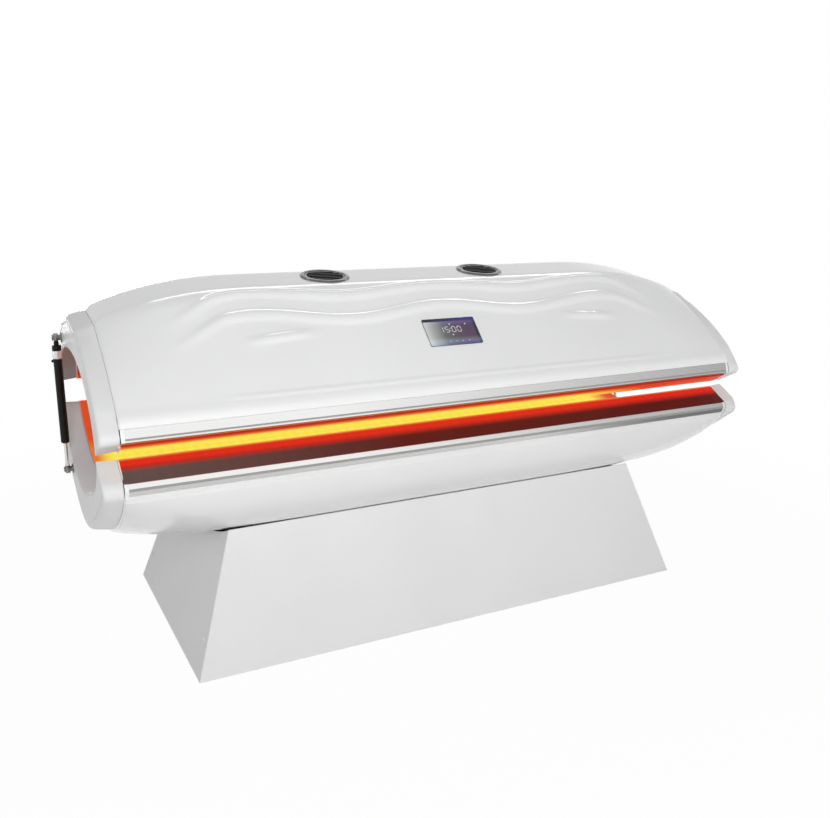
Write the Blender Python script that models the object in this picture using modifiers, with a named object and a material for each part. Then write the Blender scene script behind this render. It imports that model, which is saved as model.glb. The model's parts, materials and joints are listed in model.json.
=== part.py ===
"""Red light therapy bed: two lofted shells that close into a lit tunnel, on a sheet-metal plinth.

X runs along the bed, -Y is the front where the person gets in, Z is up.
The origin is on the floor under the middle of the plinth. All sizes are in metres.
"""
import math

import bmesh
import bpy
from mathutils import Matrix, Vector

# Overall size
LENGTH = 1.89               # over the end rims
WIDTH = 0.827               # over the aluminium trims
HEIGHT = 0.962              # floor to the top of the canopy

# Walls and fits
GAP = 0.0003                # between pieces that touch
SHELL_WALL = 0.005          # moulded plastic shells and rims
ACRYLIC_WALL = 0.004        # clear sheets that the person lies on and under
BOARD_WALL = 0.002          # light boards
PLATE_WALL = 0.003          # end plates, ribs and sheet-metal panels
TRIM_WALL = 0.003
SEAT = 0.0005               # clearance of the trims' tongues inside the shells
LINING_CLEARANCE = 0.0015   # plates and ribs inside the shells

# Shells: distances inward from a lip, and heights up or down from one
NOSE_OUT = 0.0085           # the trims stand out from the shells' lips
CANOPY_RISE = 0.292         # from the canopy's lip to the top
LIP_PARTING = 0.155         # from the hull's lip up to the canopy's
LIP_RISE = 0.008            # both lips start upright
LIP_ROUND = (0.006, 0.020)  # inward and up from the canopy's lip
CREASE = (0.027, 0.037)     # the same to the soft crease over it
SHOULDER_OUT = 0.030        # the shoulder, outward from the deck's edge
SHOULDER_DROP = 0.037       # the shoulder below the top
DECK_EDGE_DROP = 0.021
DECK_Y = 0.012              # half width of the flat ridge
DECK_DROP = 0.001
END_DROP = 0.085            # how much lower the roof is at the ends
DROP_POWER = 2.4
END_BULGE = 0.012           # crown of the front slope at the ends
HULL_DEPTH = 0.215          # from the hull's lip to the keel at mid length
HULL_END_LIFT = 0.030       # the keel is this much higher at the ends
HULL_POWER = 7.0
HULL_BAND = 0.012           # plain band under the trim, level with the end rims
HULL_STEP_FALL = 0.006      # under it the body steps out over this height
HULL_MID_LEAD = (0.020, 0.155)  # curve handles of the hull's side, inward and down from its lip
HULL_END_LEAD = (0.065, 0.055)
HULL_TAIL = (0.20, 0.16)        # half width of the flat bottom's handle, at the middle and the ends

# Wave ribs pressed into the front shoulder
WAVE_HEIGHT = 0.006
LOW_WAVE = (0.77, 0.05)     # place on the slope, from crease 0 to shoulder 1, and sway
HIGH_WAVE = (0.98, 0.04)
WAVE_TOE = 0.075
WAVE_DIVE = (1.25, 0.10)    # the ribs run down the slope near the ends: rate along the bed, and limit
WAVE_CREST = 0.02
SHOULDER_SPAN = 0.14        # the stretch from shoulder to deck edge on the same measure

# End rims
RIM_DEPTH = 0.045
RIM_STEP = 0.003            # the rims lie this much below the shells beside them
RIM_WIDTH = 0.090           # face of the rim round the tunnel's mouth
RIM_ROUND = 0.008
END_TUCK = 0.012            # the shells' last stretch falls as if it were this much further out
TUCK_RUN = 0.030            # and this is its length
COLLAR_LINES = (0.003, 0.028)   # the rims follow the shells' lines at these places past the shells' ends
MOUTH_IN = 0.068            # the mouth at the lips, inward from the shells' lips
MOUTH_SET = 0.002           # and behind the sheets' crests
MOUTH_ROUND = 0.004
CANOPY_RIM_LIP = ((0.014, -0.0015), (0.0065, 0.0035), (-0.0015, 0.0125))  # in, and up from the trim's edge
HULL_RIM_LIP = ((0.004, 0.004), (-0.0015, 0.0), (-0.0055, -0.008))
CANOPY_MOUTH = (0.10, 0.06, 0.20)   # curve handles: up from the front and back lips, half width of the roof
BED_MOUTH = (0.08, 0.16)            # down from the lips, half width of the floor

# Trims and the tunnel between the acrylic sheets
CANOPY_TRIM = 0.035         # trim heights
CANOPY_BACK_TRIM = 0.022
BED_TRIM = 0.030
CANOPY_NOSE = (0.18, 0.30)  # flat nose of the trims, as shares of their height
BED_NOSE = (0.50, 0.65)
SHEET_REST = 0.0026         # from a trim to the middle of the sheet on it
CANOPY_EDGE_IN = 0.007      # sheet edges, inward from the lips
BED_EDGE_IN = 0.0015
CREST_IN = 0.060            # the sheets roll over here, closest to each other
CANOPY_CREST_DROP = 0.0685  # below the canopy's lip
CANOPY_BACK_CREST_DROP = 0.019  # the back edge is higher, so that the lifting canopy clears the bed
BED_CREST_RISE = 0.0695     # above the hull's lip
SHEET_ROLL = 0.86           # where the roll starts, from edge 0 to crest 1
CANOPY_FOOT = (0.012, 0.016)    # foot of the arch, inward and up from the crest
BED_FOOT = (0.020, 0.011)       # foot of the trough, inward and down from the crest
ARCH_LEAD = (0.010, 0.085)      # curve handle at the arch's foot
ARCH_TAIL = 0.19                # half width of the roof's handle
TROUGH_LEAD = 0.075             # curve handle at the trough's foot, inward and down
TROUGH_TAIL = 0.14              # half width of the trough's handle
ROOF_DEPTH = 0.148          # tunnel roof below the top
TROUGH_DEPTH = 0.062        # trough below the hull's lip
BOARD_DISTANCE = 0.018      # light boards behind the sheets

# Plinth
FOOT_IN = (0.1935, 0.0475)  # its foot, inward from the overall length and width
HEAD_IN = (0.3085, 0.1400)  # its top edge
HULL_SHADOW = 0.006         # shadow gap over the end panels
PANEL_CLEARANCE = 0.0008    # inner panels between the front and back ones
BULKHEAD_SET = 0.002        # bulkheads end this far under the panels' top edge
CABLE_HOLE = 0.06
SUPPLY_SIZE = (0.215, 0.115, 0.05)
SUPPLY_ROUND = 0.003
INLET_SIZE = (0.048, 0.027, 0.024)
INLET_FLANGE = (0.060, 0.038, 0.003)
INLET_WALL = (0.006, 0.004)
INLET_AT = (0.04932, 0.09)  # outside the bulkhead and up the back panel

# Canopy hinge
HINGE_OUT = 0.0115          # hinge axis behind the trims
HINGE_RISE = 0.063          # and above the hull's lip
KNUCKLE_R = 0.009
PIN_R = 0.004
PIN_STICKOUT = 0.002
LEAF_LENGTH = 0.055
LEAF_WALL = 0.004
LEAF_REACH = 0.090          # from the pin to a leaf's far edge

# Gas springs
STRUT_STANDOFF = 0.0145     # spring axis outside the end rims
UPPER_PIN_AT = (0.18, 0.165)   # behind the middle, and below the top
LOWER_PIN_AT = (0.18, 0.085)   # behind the middle, and below the hull's lip
TUBE_R = 0.0112
TUBE_LENGTH = 0.245
TUBE_TOP = 0.047            # from the upper pin to the tube's shoulder
TUBE_COLLAR = 0.001
BORE_R = 0.0085
BORE_TOP = 0.055
NECK = (0.0065, 0.010, 0.030)   # neck radius, and where it starts and ends
ROD_R = 0.005
ROD_PLAY = 0.006            # from the rod's tip to the bore's end
ROD_FOOT = (0.007, 0.010, 0.030)
EYE_R = 0.012
EYE_WALL = 0.0124
STUD_R = 0.005
STUD_CLEARANCE = 0.0003
STUD_HEAD = (0.008, 0.004)  # radius and height
STUD_COLLAR_R = 0.0075
STUD_DISC = (0.013, 0.003)

# Air outlets, fans and controls
VENT_SET = 0.067            # outlet centres, inward from the deck's edge
VENT_RIDGE = 0.008          # the fans under them end this far in front of the roof's middle
VENT_R = 0.068
VENT_HOLE_R = 0.060
VENT_CROWN = 0.0050         # the bezel stands this high
SKIRT = 0.007               # and reaches this far down
LEDGE = (0.003, 0.0015)     # ledge under the louvre, width and thickness
LOUVRE_R = 0.0545
LOUVRE_CLEARANCE = 0.0007
LOUVRE_RING = (0.005, 0.003)    # wall and height over the deck
VANES = 5
VANE_PITCH = 0.0175
VANE_SIZE = (0.0018, 0.0125)
VANE_HEIGHT = 0.0002
VANE_SLANT = 42             # degrees
FAN_SIZE = 0.120
FAN_DEPTH = 0.025
FAN_WALL = 0.0035
FAN_HUB_R = 0.020
SPIDER = (0.006, 0.004)     # arm width and thickness
BLADES = 7
BLADE_WIDTHS = (0.012, 0.030)   # at the hub and the tip
BLADE_WALL = 0.0018
BLADE_PITCH = 28            # degrees
BLADE_CLEARANCE = 0.0025
ROTOR_SET = (0.0004, 0.003)     # over the spider, and under the frame's top
SCREEN_SIZE = (0.160, 0.088, 0.003)
SCREEN_ROUND = 0.004
SCREEN_HOLE = (0.148, 0.076)
SCREEN_SLOPE = 0.465        # screen centre, from crease 0 to shoulder 1
CUT_DEPTH = 0.06            # of the cutters through the roof
MODULE_CLEARANCE = 0.002
MODULE_DEPTH = 0.016
MODULE_ROUND = 0.001
BOARD_SIZE = (0.130, 0.070, 0.010)

# Places along the bed
END_X = LENGTH / 2
HALF_TRIM = END_X - RIM_DEPTH
STRUT_X = END_X + STRUT_STANDOFF
PLATE_X = HALF_TRIM - GAP   # end plates lie against the rims
HINGE_X = 0.291 * LENGTH
CANOPY_RIB_X = 0.291 * LENGTH
BED_RIB_X = (-0.318 * LENGTH, 0.0, 0.318 * LENGTH)
BULKHEAD_X = 0.212 * LENGTH
SUPPLY_X = 0.106 * LENGTH
VENT_MIDDLE = -0.0195 * LENGTH  # the outlets lie either side of here
VENT_X = 0.1298 * LENGTH
DROP_START = 0.265 * LENGTH     # the roof starts to fall here
WAVE_PITCH = 0.2804 * LENGTH
WAVE_FULL = 0.328 * LENGTH      # ribs at full height up to here
WAVE_END = 0.4074 * LENGTH      # and flat from here
WAVE_TURN = 0.3228 * LENGTH     # from here they run down the slope

# Places across it
NOSE_Y = WIDTH / 2
LIP_Y = NOSE_Y - NOSE_OUT
CREASE_Y = LIP_Y - CREASE[0]
VENT_Y = FAN_SIZE / 2 + VENT_RIDGE
DECK_EDGE_Y = VENT_Y + VENT_SET
SHOULDER_Y = DECK_EDGE_Y + SHOULDER_OUT
CREST_Y = LIP_Y - CREST_IN
MOUTH_Y = LIP_Y - MOUTH_IN
HINGE_Y = NOSE_Y + HINGE_OUT
FOOT = (END_X - FOOT_IN[0], NOSE_Y - FOOT_IN[1])
HEAD = (END_X - HEAD_IN[0], NOSE_Y - HEAD_IN[1])

# Heights
CANOPY_LIP_Z = HEIGHT - CANOPY_RISE
HULL_LIP_Z = CANOPY_LIP_Z - LIP_PARTING
CREASE_Z = CANOPY_LIP_Z + CREASE[1]
SHOULDER_Z = HEIGHT - SHOULDER_DROP
DECK_EDGE_Z = HEIGHT - DECK_EDGE_DROP
DECK_Z = HEIGHT - DECK_DROP
CANOPY_CREST_Z = CANOPY_LIP_Z - CANOPY_CREST_DROP
CANOPY_BACK_CREST_Z = CANOPY_LIP_Z - CANOPY_BACK_CREST_DROP
BED_CREST_Z = HULL_LIP_Z + BED_CREST_RISE
HULL_MID_Z = HULL_LIP_Z - HULL_DEPTH
HULL_END_Z = HULL_MID_Z + HULL_END_LIFT
ROOF_Z = HEIGHT - ROOF_DEPTH
TROUGH_Z = HULL_LIP_Z - TROUGH_DEPTH
CANOPY_TRIM_Z = CANOPY_LIP_Z - GAP - CANOPY_TRIM
CANOPY_BACK_TRIM_Z = CANOPY_LIP_Z - GAP - CANOPY_BACK_TRIM
BED_TRIM_Z = HULL_LIP_Z + GAP + BED_TRIM
HINGE_Z = HULL_LIP_Z + HINGE_RISE
UPPER_PIN = (UPPER_PIN_AT[0], HEIGHT - UPPER_PIN_AT[1])
LOWER_PIN = (LOWER_PIN_AT[0], HULL_LIP_Z - LOWER_PIN_AT[1])

# Outlines drawn in (y, z) and carried along X
ALONG_X = Matrix(((0, 0, 1, 0), (1, 0, 0, 0), (0, 1, 0, 0), (0, 0, 0, 1)))

for leftover in list(bpy.data.objects):
    bpy.data.objects.remove(leftover, do_unlink=True)
PARTS = bpy.data.collections.new("red_light_therapy_bed")
CUTTERS = bpy.data.collections.new("cutters")
for group in (PARTS, CUTTERS):
    bpy.context.scene.collection.children.link(group)


# Finishes
def finish(name, colour, roughness, metallic=0.0):
    material = bpy.data.materials.new(name)
    material.use_nodes = True
    shader = material.node_tree.nodes["Principled BSDF"]
    shader.inputs["Base Color"].default_value = (*colour, 1.0)
    shader.inputs["Roughness"].default_value = roughness
    shader.inputs["Metallic"].default_value = metallic
    return material


WHITE_SHELL = finish("white_shell", (0.86, 0.86, 0.85), 0.25)
WHITE_SHEET = finish("white_sheet_metal", (0.88, 0.88, 0.88), 0.45)
GREY_PLATE = finish("grey_plate", (0.55, 0.55, 0.54), 0.5)
ALUMINIUM = finish("aluminium", (0.72, 0.72, 0.71), 0.35, 1.0)
STEEL = finish("steel", (0.62, 0.62, 0.62), 0.3, 1.0)
CHROME = finish("chrome", (0.85, 0.85, 0.86), 0.08, 1.0)
RED_ACRYLIC = finish("red_lit_acrylic", (0.75, 0.06, 0.03), 0.15)
LIGHT_BOARD = finish("light_board", (0.80, 0.45, 0.10), 0.5)
BLACK_PAINT = finish("black_paint", (0.02, 0.02, 0.02), 0.35)
BLACK_PLASTIC = finish("black_plastic", (0.03, 0.03, 0.03), 0.5)
DARK_GLASS = finish("dark_glass", (0.01, 0.015, 0.03), 0.08)
BOARD_GREEN = finish("circuit_board", (0.02, 0.12, 0.05), 0.5)


# Building helpers
def add(name, mesh, material, frame=None, collection=PARTS):
    piece = bpy.data.objects.new(name, mesh)
    mesh.materials.append(material)
    collection.objects.link(piece)
    if frame is not None:
        piece.matrix_world = frame
    return piece


def from_bmesh(name, shape, material, frame=None, collection=PARTS):
    mesh = bpy.data.meshes.new(name)
    shape.to_mesh(mesh)
    shape.free()
    return add(name, mesh, material, frame, collection)


def box(name, size, material, frame, collection=PARTS):
    """A block centred on its frame."""
    shape = bmesh.new()
    bmesh.ops.create_cube(shape, size=1.0)
    bmesh.ops.scale(shape, vec=Vector(size), verts=shape.verts)
    return from_bmesh(name, shape, material, frame, collection)


def cylinder(name, radius, depth, material, frame, sides=32, collection=PARTS):
    """A round bar along its frame's Z, centred on it."""
    shape = bmesh.new()
    bmesh.ops.create_cone(shape, cap_ends=True, segments=sides, radius1=radius, radius2=radius, depth=depth)
    return from_bmesh(name, shape, material, frame, collection)


def turned(name, profile, material, frame, closed=True, steps=28, collection=PARTS):
    """Turn an outline of (radius, height) points about its frame's Z; an open one ends on the axis."""
    mesh = bpy.data.meshes.new(name)
    count = len(profile)
    edges = [(i, (i + 1) % count) for i in range(count if closed else count - 1)]
    mesh.from_pydata([(radius, 0, height) for radius, height in profile], edges, [])
    piece = add(name, mesh, material, frame, collection)
    spin = piece.modifiers.new("turn", "SCREW")
    spin.steps = steps
    spin.render_steps = steps
    spin.use_merge_vertices = True
    spin.merge_threshold = 0.00001
    return piece


def plate(name, outline, low, high, material, frame, holes=()):
    """A flat outline in its frame's XY plane, from low to high along Z."""
    curve = bpy.data.curves.new(name, "CURVE")
    curve.dimensions = "2D"
    curve.fill_mode = "BOTH"
    curve.extrude = (high - low) / 2
    for loop in (outline, *holes):
        spline = curve.splines.new("POLY")
        spline.points.add(len(loop) - 1)
        for point, (u, v) in zip(spline.points, loop):
            point.co = (u, v, 0, 1)
        spline.use_cyclic_u = True
    return add(name, curve, material, frame @ Matrix.Translation((0, 0, (low + high) / 2)))


def as_mesh(piece):
    """Turn a curve piece into a mesh piece that can be cut and joined."""
    bpy.context.view_layer.update()
    depsgraph = bpy.context.evaluated_depsgraph_get()
    mesh = bpy.data.meshes.new_from_object(piece.evaluated_get(depsgraph))
    shape = bmesh.new()
    shape.from_mesh(mesh)
    bmesh.ops.remove_doubles(shape, verts=shape.verts, dist=0.00001)
    bmesh.ops.recalc_face_normals(shape, faces=shape.faces)
    shape.to_mesh(mesh)
    shape.free()
    name = piece.name
    frame = piece.matrix_world.copy()
    collection = piece.users_collection[0]
    bpy.data.objects.remove(piece, do_unlink=True)
    solid = bpy.data.objects.new(name, mesh)
    collection.objects.link(solid)
    solid.matrix_world = frame
    return solid


def loft(name, sections, material, closed):
    """Skin between sections, each a list of points; closed sections also get end caps."""
    shape = bmesh.new()
    rows = [[shape.verts.new(point) for point in section] for section in sections]
    for near, far in zip(rows, rows[1:]):
        count = len(near)
        for i in range(count if closed else count - 1):
            j = (i + 1) % count
            shape.faces.new((near[i], near[j], far[j], far[i]))
    if closed:
        shape.faces.new(rows[0])
        shape.faces.new(rows[-1])
        bmesh.ops.recalc_face_normals(shape, faces=shape.faces)
    return from_bmesh(name, shape, material)


def shell(piece, wall):
    """Give an open skin its wall, inward."""
    thicken = piece.modifiers.new("wall", "SOLIDIFY")
    thicken.thickness = wall
    thicken.offset = -1.0
    thicken.use_even_offset = True
    return piece


def combine(piece, tool, operation):
    """Cut a tool away from a piece, or join it on."""
    step = piece.modifiers.new(operation.lower(), "BOOLEAN")
    step.operation = operation
    step.object = tool
    tool.hide_render = True
    tool.display_type = "WIRE"
    return piece


def smooth(piece, degrees=30):
    piece.data.shade_smooth()
    piece.data.set_sharp_from_angle(angle=math.radians(degrees))
    return piece


def ease(piece, width, segments=2):
    """Round the sharp edges of a block."""
    rounding = piece.modifiers.new("edges", "BEVEL")
    rounding.width = width
    rounding.segments = segments
    return piece


# Curves that several pieces share
def bezier(start, lead, tail, end, count):
    """Points of one cubic curve, both ends included."""
    points = []
    for i in range(count + 1):
        t = i / count
        weights = ((1 - t) ** 3, 3 * t * (1 - t) ** 2, 3 * t * t * (1 - t), t ** 3)
        points.append(tuple(
            sum(w * p[axis] for w, p in zip(weights, (start, lead, tail, end))) for axis in (0, 1)
        ))
    return points


def mix(a, b, t):
    return (a[0] + (b[0] - a[0]) * t, a[1] + (b[1] - a[1]) * t)


def mirrored(points):
    """The same points at the back, in turned order."""
    return [(-y, z) for y, z in reversed(points)]


def offset(points, distance):
    """Move an open line sideways: positive goes to the left of its direction."""
    moved = []
    last = len(points) - 1
    for i, (y, z) in enumerate(points):
        before = points[max(i - 1, 0)]
        after = points[min(i + 1, last)]
        run = Vector((after[0] - before[0], after[1] - before[1])).normalized()
        moved.append((y - run.y * distance, z + run.x * distance))
    return moved


def spread(line, count):
    """Even steps along a line of points."""
    lengths = [0.0]
    for near, far in zip(line, line[1:]):
        lengths.append(lengths[-1] + math.dist(near, far))
    points = []
    for i in range(count):
        target = lengths[-1] * i / (count - 1)
        k = sum(1 for length in lengths[1:-1] if length <= target)
        points.append(mix(line[k], line[k + 1], (target - lengths[k]) / (lengths[k + 1] - lengths[k])))
    return points


def ribbon(points, wall):
    """Outline of a sheet of even wall along a line."""
    return offset(points, wall / 2) + list(reversed(offset(points, -wall / 2)))


def circle(centre, radius, count=24):
    turns = [2 * math.pi * i / count for i in range(count)]
    return [(centre[0] + radius * math.cos(a), centre[1] + radius * math.sin(a)) for a in turns]


def rounded(width, height, radius, corner=4):
    """Outline of a rectangle with round corners."""
    points = []
    for quarter, (sx, sy) in enumerate(((1, 1), (-1, 1), (-1, -1), (1, -1))):
        for i in range(corner + 1):
            a = math.pi / 2 * (quarter + i / corner)
            points.append((
                sx * (width / 2 - radius) + radius * math.cos(a),
                sy * (height / 2 - radius) + radius * math.sin(a),
            ))
    return points


def section_x(x):
    """Where a station's section is taken: the shells tuck in at their ends."""
    share = min(1.0, max(0.0, (abs(x) - HALF_TRIM + TUCK_RUN) / TUCK_RUN))
    return abs(x) + END_TUCK * share * share


def roof_drop(x):
    """How far the roof has fallen at a station along the bed."""
    reach = max(0.0, section_x(x) - DROP_START) / (END_X - DROP_START)
    return END_DROP * reach ** DROP_POWER


def wave_strength(x):
    fade = (WAVE_END - abs(x)) / (WAVE_END - WAVE_FULL)
    fade = min(1.0, max(0.0, fade))
    return WAVE_HEIGHT * fade * fade * (3 - 2 * fade)


def slope_point(place, x, lift=0.0):
    """A point of the front slope: crease 0, shoulder 1, then on towards the deck edge."""
    drop = roof_drop(x)
    crease = (-CREASE_Y, CREASE_Z)
    shoulder = (-SHOULDER_Y, SHOULDER_Z - drop)
    if place > 1:
        point = mix(shoulder, (-DECK_EDGE_Y, DECK_EDGE_Z - drop), (place - 1) / SHOULDER_SPAN)
    else:
        point = mix(crease, shoulder, place)
    bulge = END_BULGE * drop / END_DROP * max(0.0, 4 * place * (1 - place))
    run = Vector((shoulder[0] - crease[0], shoulder[1] - crease[1])).normalized()
    return (point[0] - run.y * (lift + bulge), point[1] + run.x * (lift + bulge))


CANOPY_LIP = [
    (-LIP_Y, CANOPY_LIP_Z),
    (-LIP_Y, CANOPY_LIP_Z + LIP_RISE),
    (-LIP_Y + LIP_ROUND[0], CANOPY_LIP_Z + LIP_ROUND[1]),
]


def canopy_half(x, waves):
    """Half the canopy section from lip to top, as the front has it."""
    drop = roof_drop(x)
    sway = math.cos(2 * math.pi * x / WAVE_PITCH)
    dive = min(WAVE_DIVE[1], WAVE_DIVE[0] * max(0.0, abs(x) - WAVE_TURN))
    low = LOW_WAVE[0] + LOW_WAVE[1] * sway - dive
    high = HIGH_WAVE[0] + HIGH_WAVE[1] * sway - dive
    lift = wave_strength(x) if waves else 0.0
    places = [(0.0, 0), (0.20, 0), (0.36, 0), (0.50, 0)]
    places += [(low - WAVE_TOE, 0), (low - WAVE_CREST, lift), (low + WAVE_CREST, lift), (low + WAVE_TOE, 0)]
    places += [(high - WAVE_TOE, 0), (high - WAVE_CREST, lift), (high + WAVE_CREST, lift)]
    slope = [slope_point(place, x, rise) for place, rise in places]
    middle = (DECK_EDGE_Y + DECK_Y) / 2
    deck = [
        (-DECK_EDGE_Y, DECK_EDGE_Z - drop),
        (-middle, (DECK_EDGE_Z + DECK_Z) / 2 - drop),
        (-DECK_Y, DECK_Z - drop),
    ]
    return CANOPY_LIP + slope + deck


def canopy_plain_half(x):
    """Half the canopy section without waves, as the back and the end rims have it."""
    drop = roof_drop(x)
    slope = [slope_point(place, x) for place in (0.0, 0.25, 0.5, 0.75, 1.0)]
    middle = (DECK_EDGE_Y + DECK_Y) / 2
    deck = [
        (-DECK_EDGE_Y, DECK_EDGE_Z - drop),
        (-middle, (DECK_EDGE_Z + DECK_Z) / 2 - drop),
        (-DECK_Y, DECK_Z - drop),
    ]
    return CANOPY_LIP + slope + deck


def canopy_section(x):
    """Whole canopy section from the front lip over the top to the back lip."""
    return canopy_half(x, True) + [(0.0, HEIGHT - roof_drop(x))] + mirrored(canopy_plain_half(x))


def canopy_plain_section(x):
    return canopy_plain_half(x) + [(0.0, HEIGHT - roof_drop(x))] + mirrored(canopy_plain_half(x))


def hull_curve(x, count):
    """Front half of the hull's side, from under the lip down to the keel."""
    blend = (section_x(x) / END_X) ** HULL_POWER
    turn = (-LIP_Y, HULL_LIP_Z - LIP_RISE)
    keel = (0.0, HULL_MID_Z + (HULL_END_Z - HULL_MID_Z) * blend)
    handle = mix(HULL_MID_LEAD, HULL_END_LEAD, blend)
    lead = (-LIP_Y + handle[0], HULL_LIP_Z - handle[1])
    tail = (-HULL_TAIL[0] + (HULL_TAIL[0] - HULL_TAIL[1]) * blend, keel[1])
    return bezier(turn, lead, tail, keel, count)


def hull_half(x, count=9):
    """Half the hull section: lip, plain band, a small step outward, and the body down to the keel."""
    curve = hull_curve(x, 160)
    band_end = sum(1 for point in curve if point[1] > HULL_LIP_Z - HULL_BAND)
    body_start = sum(1 for point in curve if point[1] > HULL_LIP_Z - HULL_BAND - HULL_STEP_FALL)
    band = [(-LIP_Y, HULL_LIP_Z), curve[0], curve[band_end]]
    return [(y + RIM_STEP, z) for y, z in band] + spread(curve[body_start:], count)


def hull_section(x):
    half = hull_half(x)
    return half + mirrored(half)[1:]


def hull_plain_section(x):
    """The hull's line without the step, as the end rims have it."""
    half = [(-LIP_Y, HULL_LIP_Z)] + hull_curve(x, 10)
    return half + mirrored(half)[1:]


def hull_under(x, y):
    """Height of the hull's skin at a point of its plan."""
    line = hull_half(x, 48)
    for near, far in zip(line, line[1:]):
        if near[0] <= -abs(y) <= far[0]:
            return near[1] + (far[1] - near[1]) * (-abs(y) - near[0]) / (far[0] - near[0])
    return HULL_LIP_Z


# Lines of the acrylic sheets, in (y, z)
def canopy_sheet_half(edge, crest):
    """Half the roof sheet in front: edge, roll at the crest, and the arch up to the middle."""
    foot = (crest[0] + CANOPY_FOOT[0], crest[1] + CANOPY_FOOT[1])
    roll_start = mix(edge, crest, SHEET_ROLL)
    roll = bezier(roll_start, crest, (foot[0] - 0.1 * CANOPY_FOOT[0], mix(crest, foot, 0.45)[1]), foot, 4)
    lead = (foot[0] + ARCH_LEAD[0], foot[1] + ARCH_LEAD[1])
    arch = bezier(foot, lead, (-ARCH_TAIL, ROOF_Z), (0.0, ROOF_Z), 12)
    return [edge] + roll + arch[1:]


def canopy_sheet_line():
    """The roof sheet from front to back, where its edge is higher."""
    edge_y = -LIP_Y + CANOPY_EDGE_IN
    front = canopy_sheet_half((edge_y, CANOPY_TRIM_Z - SHEET_REST), (-CREST_Y, CANOPY_CREST_Z))
    back = canopy_sheet_half((edge_y, CANOPY_BACK_TRIM_Z - SHEET_REST), (-CREST_Y, CANOPY_BACK_CREST_Z))
    return front + mirrored(back)[1:]


def bed_sheet_line():
    """The sheet the person lies on: edge, roll at the crest, trough, and the same at the back."""
    edge = (-LIP_Y + BED_EDGE_IN, BED_TRIM_Z + SHEET_REST)
    crest = (-CREST_Y, BED_CREST_Z)
    foot = (crest[0] + BED_FOOT[0], crest[1] - BED_FOOT[1])
    lead = (crest[0] + 0.2 * BED_FOOT[0], crest[1] + 0.2 * BED_FOOT[1])
    tail = (foot[0] - 0.4 * BED_FOOT[0], foot[1] + 0.7 * BED_FOOT[1])
    roll = bezier(mix(edge, crest, SHEET_ROLL), lead, tail, foot, 4)
    dip = (foot[0] + TROUGH_LEAD, foot[1] - TROUGH_LEAD)
    trough = bezier(foot, dip, (-TROUGH_TAIL, TROUGH_Z), (0.0, TROUGH_Z), 10)
    half = [edge] + roll + trough[1:]
    return half + mirrored(half)[1:]


SHEET_LAP = 7               # points at each edge that the light boards don't follow
CANOPY_LINE = canopy_sheet_line()
BED_LINE = bed_sheet_line()
CANOPY_BOARD_LINE = offset(CANOPY_LINE[SHEET_LAP:-SHEET_LAP], BOARD_DISTANCE)
BED_BOARD_LINE = offset(BED_LINE[SHEET_LAP:-SHEET_LAP], -BOARD_DISTANCE)


# Canopy shell with its wave ribs
def make_canopy_shell():
    stations = 32
    reach = HALF_TRIM - GAP
    xs = [-reach + 2 * reach * i / stations for i in range(stations + 1)]
    tuck = HALF_TRIM - TUCK_RUN
    xs = sorted(xs + [-tuck, tuck])
    sections = [[(x, y, z) for y, z in reversed(canopy_section(x))] for x in xs]
    return smooth(shell(loft("canopy_shell", sections, WHITE_SHELL, False), SHELL_WALL))


def make_hull_shell():
    stations = 14
    reach = HALF_TRIM - GAP
    shares = [2 * i / stations - 1 for i in range(stations + 1)]
    xs = [reach * (1.5 * share - 0.5 * share ** 3) for share in shares]   # closer towards the ends
    sections = [[(x, y, z) for y, z in hull_section(x)] for x in xs]
    return smooth(shell(loft("hull_shell", sections, WHITE_SHELL, False), SHELL_WALL))


# End rims: open C sections lofted round the tunnel's mouth, closed off at the lips
CREST_POINT = 3             # the sheets' point at the top of the roll


def rim_lip(points, trim_z):
    """Chamfered lip of a rim, beside a trim's free edge."""
    return [(-LIP_Y + inward, trim_z + up) for inward, up in points]


def toward(near, far, distance):
    """A point on the way from one point to another."""
    return mix(near, far, distance / math.dist(near, far))


def rim_cut(side, outer_at, mouth, throat, solid):
    """One closed cut: outer skin, face, inner wall down to the sheet, and the hollow behind them."""
    edge = END_X - RIM_ROUND
    skin = outer_at(HALF_TRIM)
    front = outer_at(END_X)
    shelf = END_X - SHELL_WALL
    hollow = [
        (HALF_TRIM, toward(throat, skin, SHELL_WALL)),
        (shelf, toward(mouth, front, SHELL_WALL)),
        (shelf, toward(front, mouth, RIM_STEP + 2 * SHELL_WALL)),
        (HALF_TRIM, toward(skin, throat, RIM_STEP + SHELL_WALL)),
    ]
    if solid:
        ends = (hollow[0][1], hollow[3][1])
        hollow = [(HALF_TRIM, mix(*ends, share)) for share in (0.0, 0.35, 0.65, 1.0)]
    cut = [
        (HALF_TRIM, toward(skin, throat, RIM_STEP)),
        (edge, toward(outer_at(edge), mouth, RIM_STEP)),
        (END_X - 0.3 * RIM_ROUND, toward(front, mouth, RIM_STEP + 0.2 * RIM_ROUND)),
        (END_X, toward(front, mouth, RIM_STEP + 0.8 * RIM_ROUND)),
        (END_X, toward(mouth, front, MOUTH_ROUND)),
        (END_X - MOUTH_ROUND, mix(mouth, throat, MOUTH_ROUND / RIM_DEPTH)),
        (HALF_TRIM, throat),
    ]
    return [(side * x, y, z) for x, (y, z) in cut + hollow]


def make_rim(name, side, outer_line, mouth_line, throat_line):
    """Loft the cuts round the mouth; the two at each lip are solid and close it off."""
    last = len(mouth_line) - 1
    sections = []
    for i, (mouth, throat) in enumerate(zip(mouth_line, throat_line)):
        solid = i < 2 or i > last - 2
        sections.append(rim_cut(side, lambda x, i=i: outer_line(x)[i], mouth, throat, solid))
    return smooth(loft(name, sections, WHITE_SHELL, True))


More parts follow.
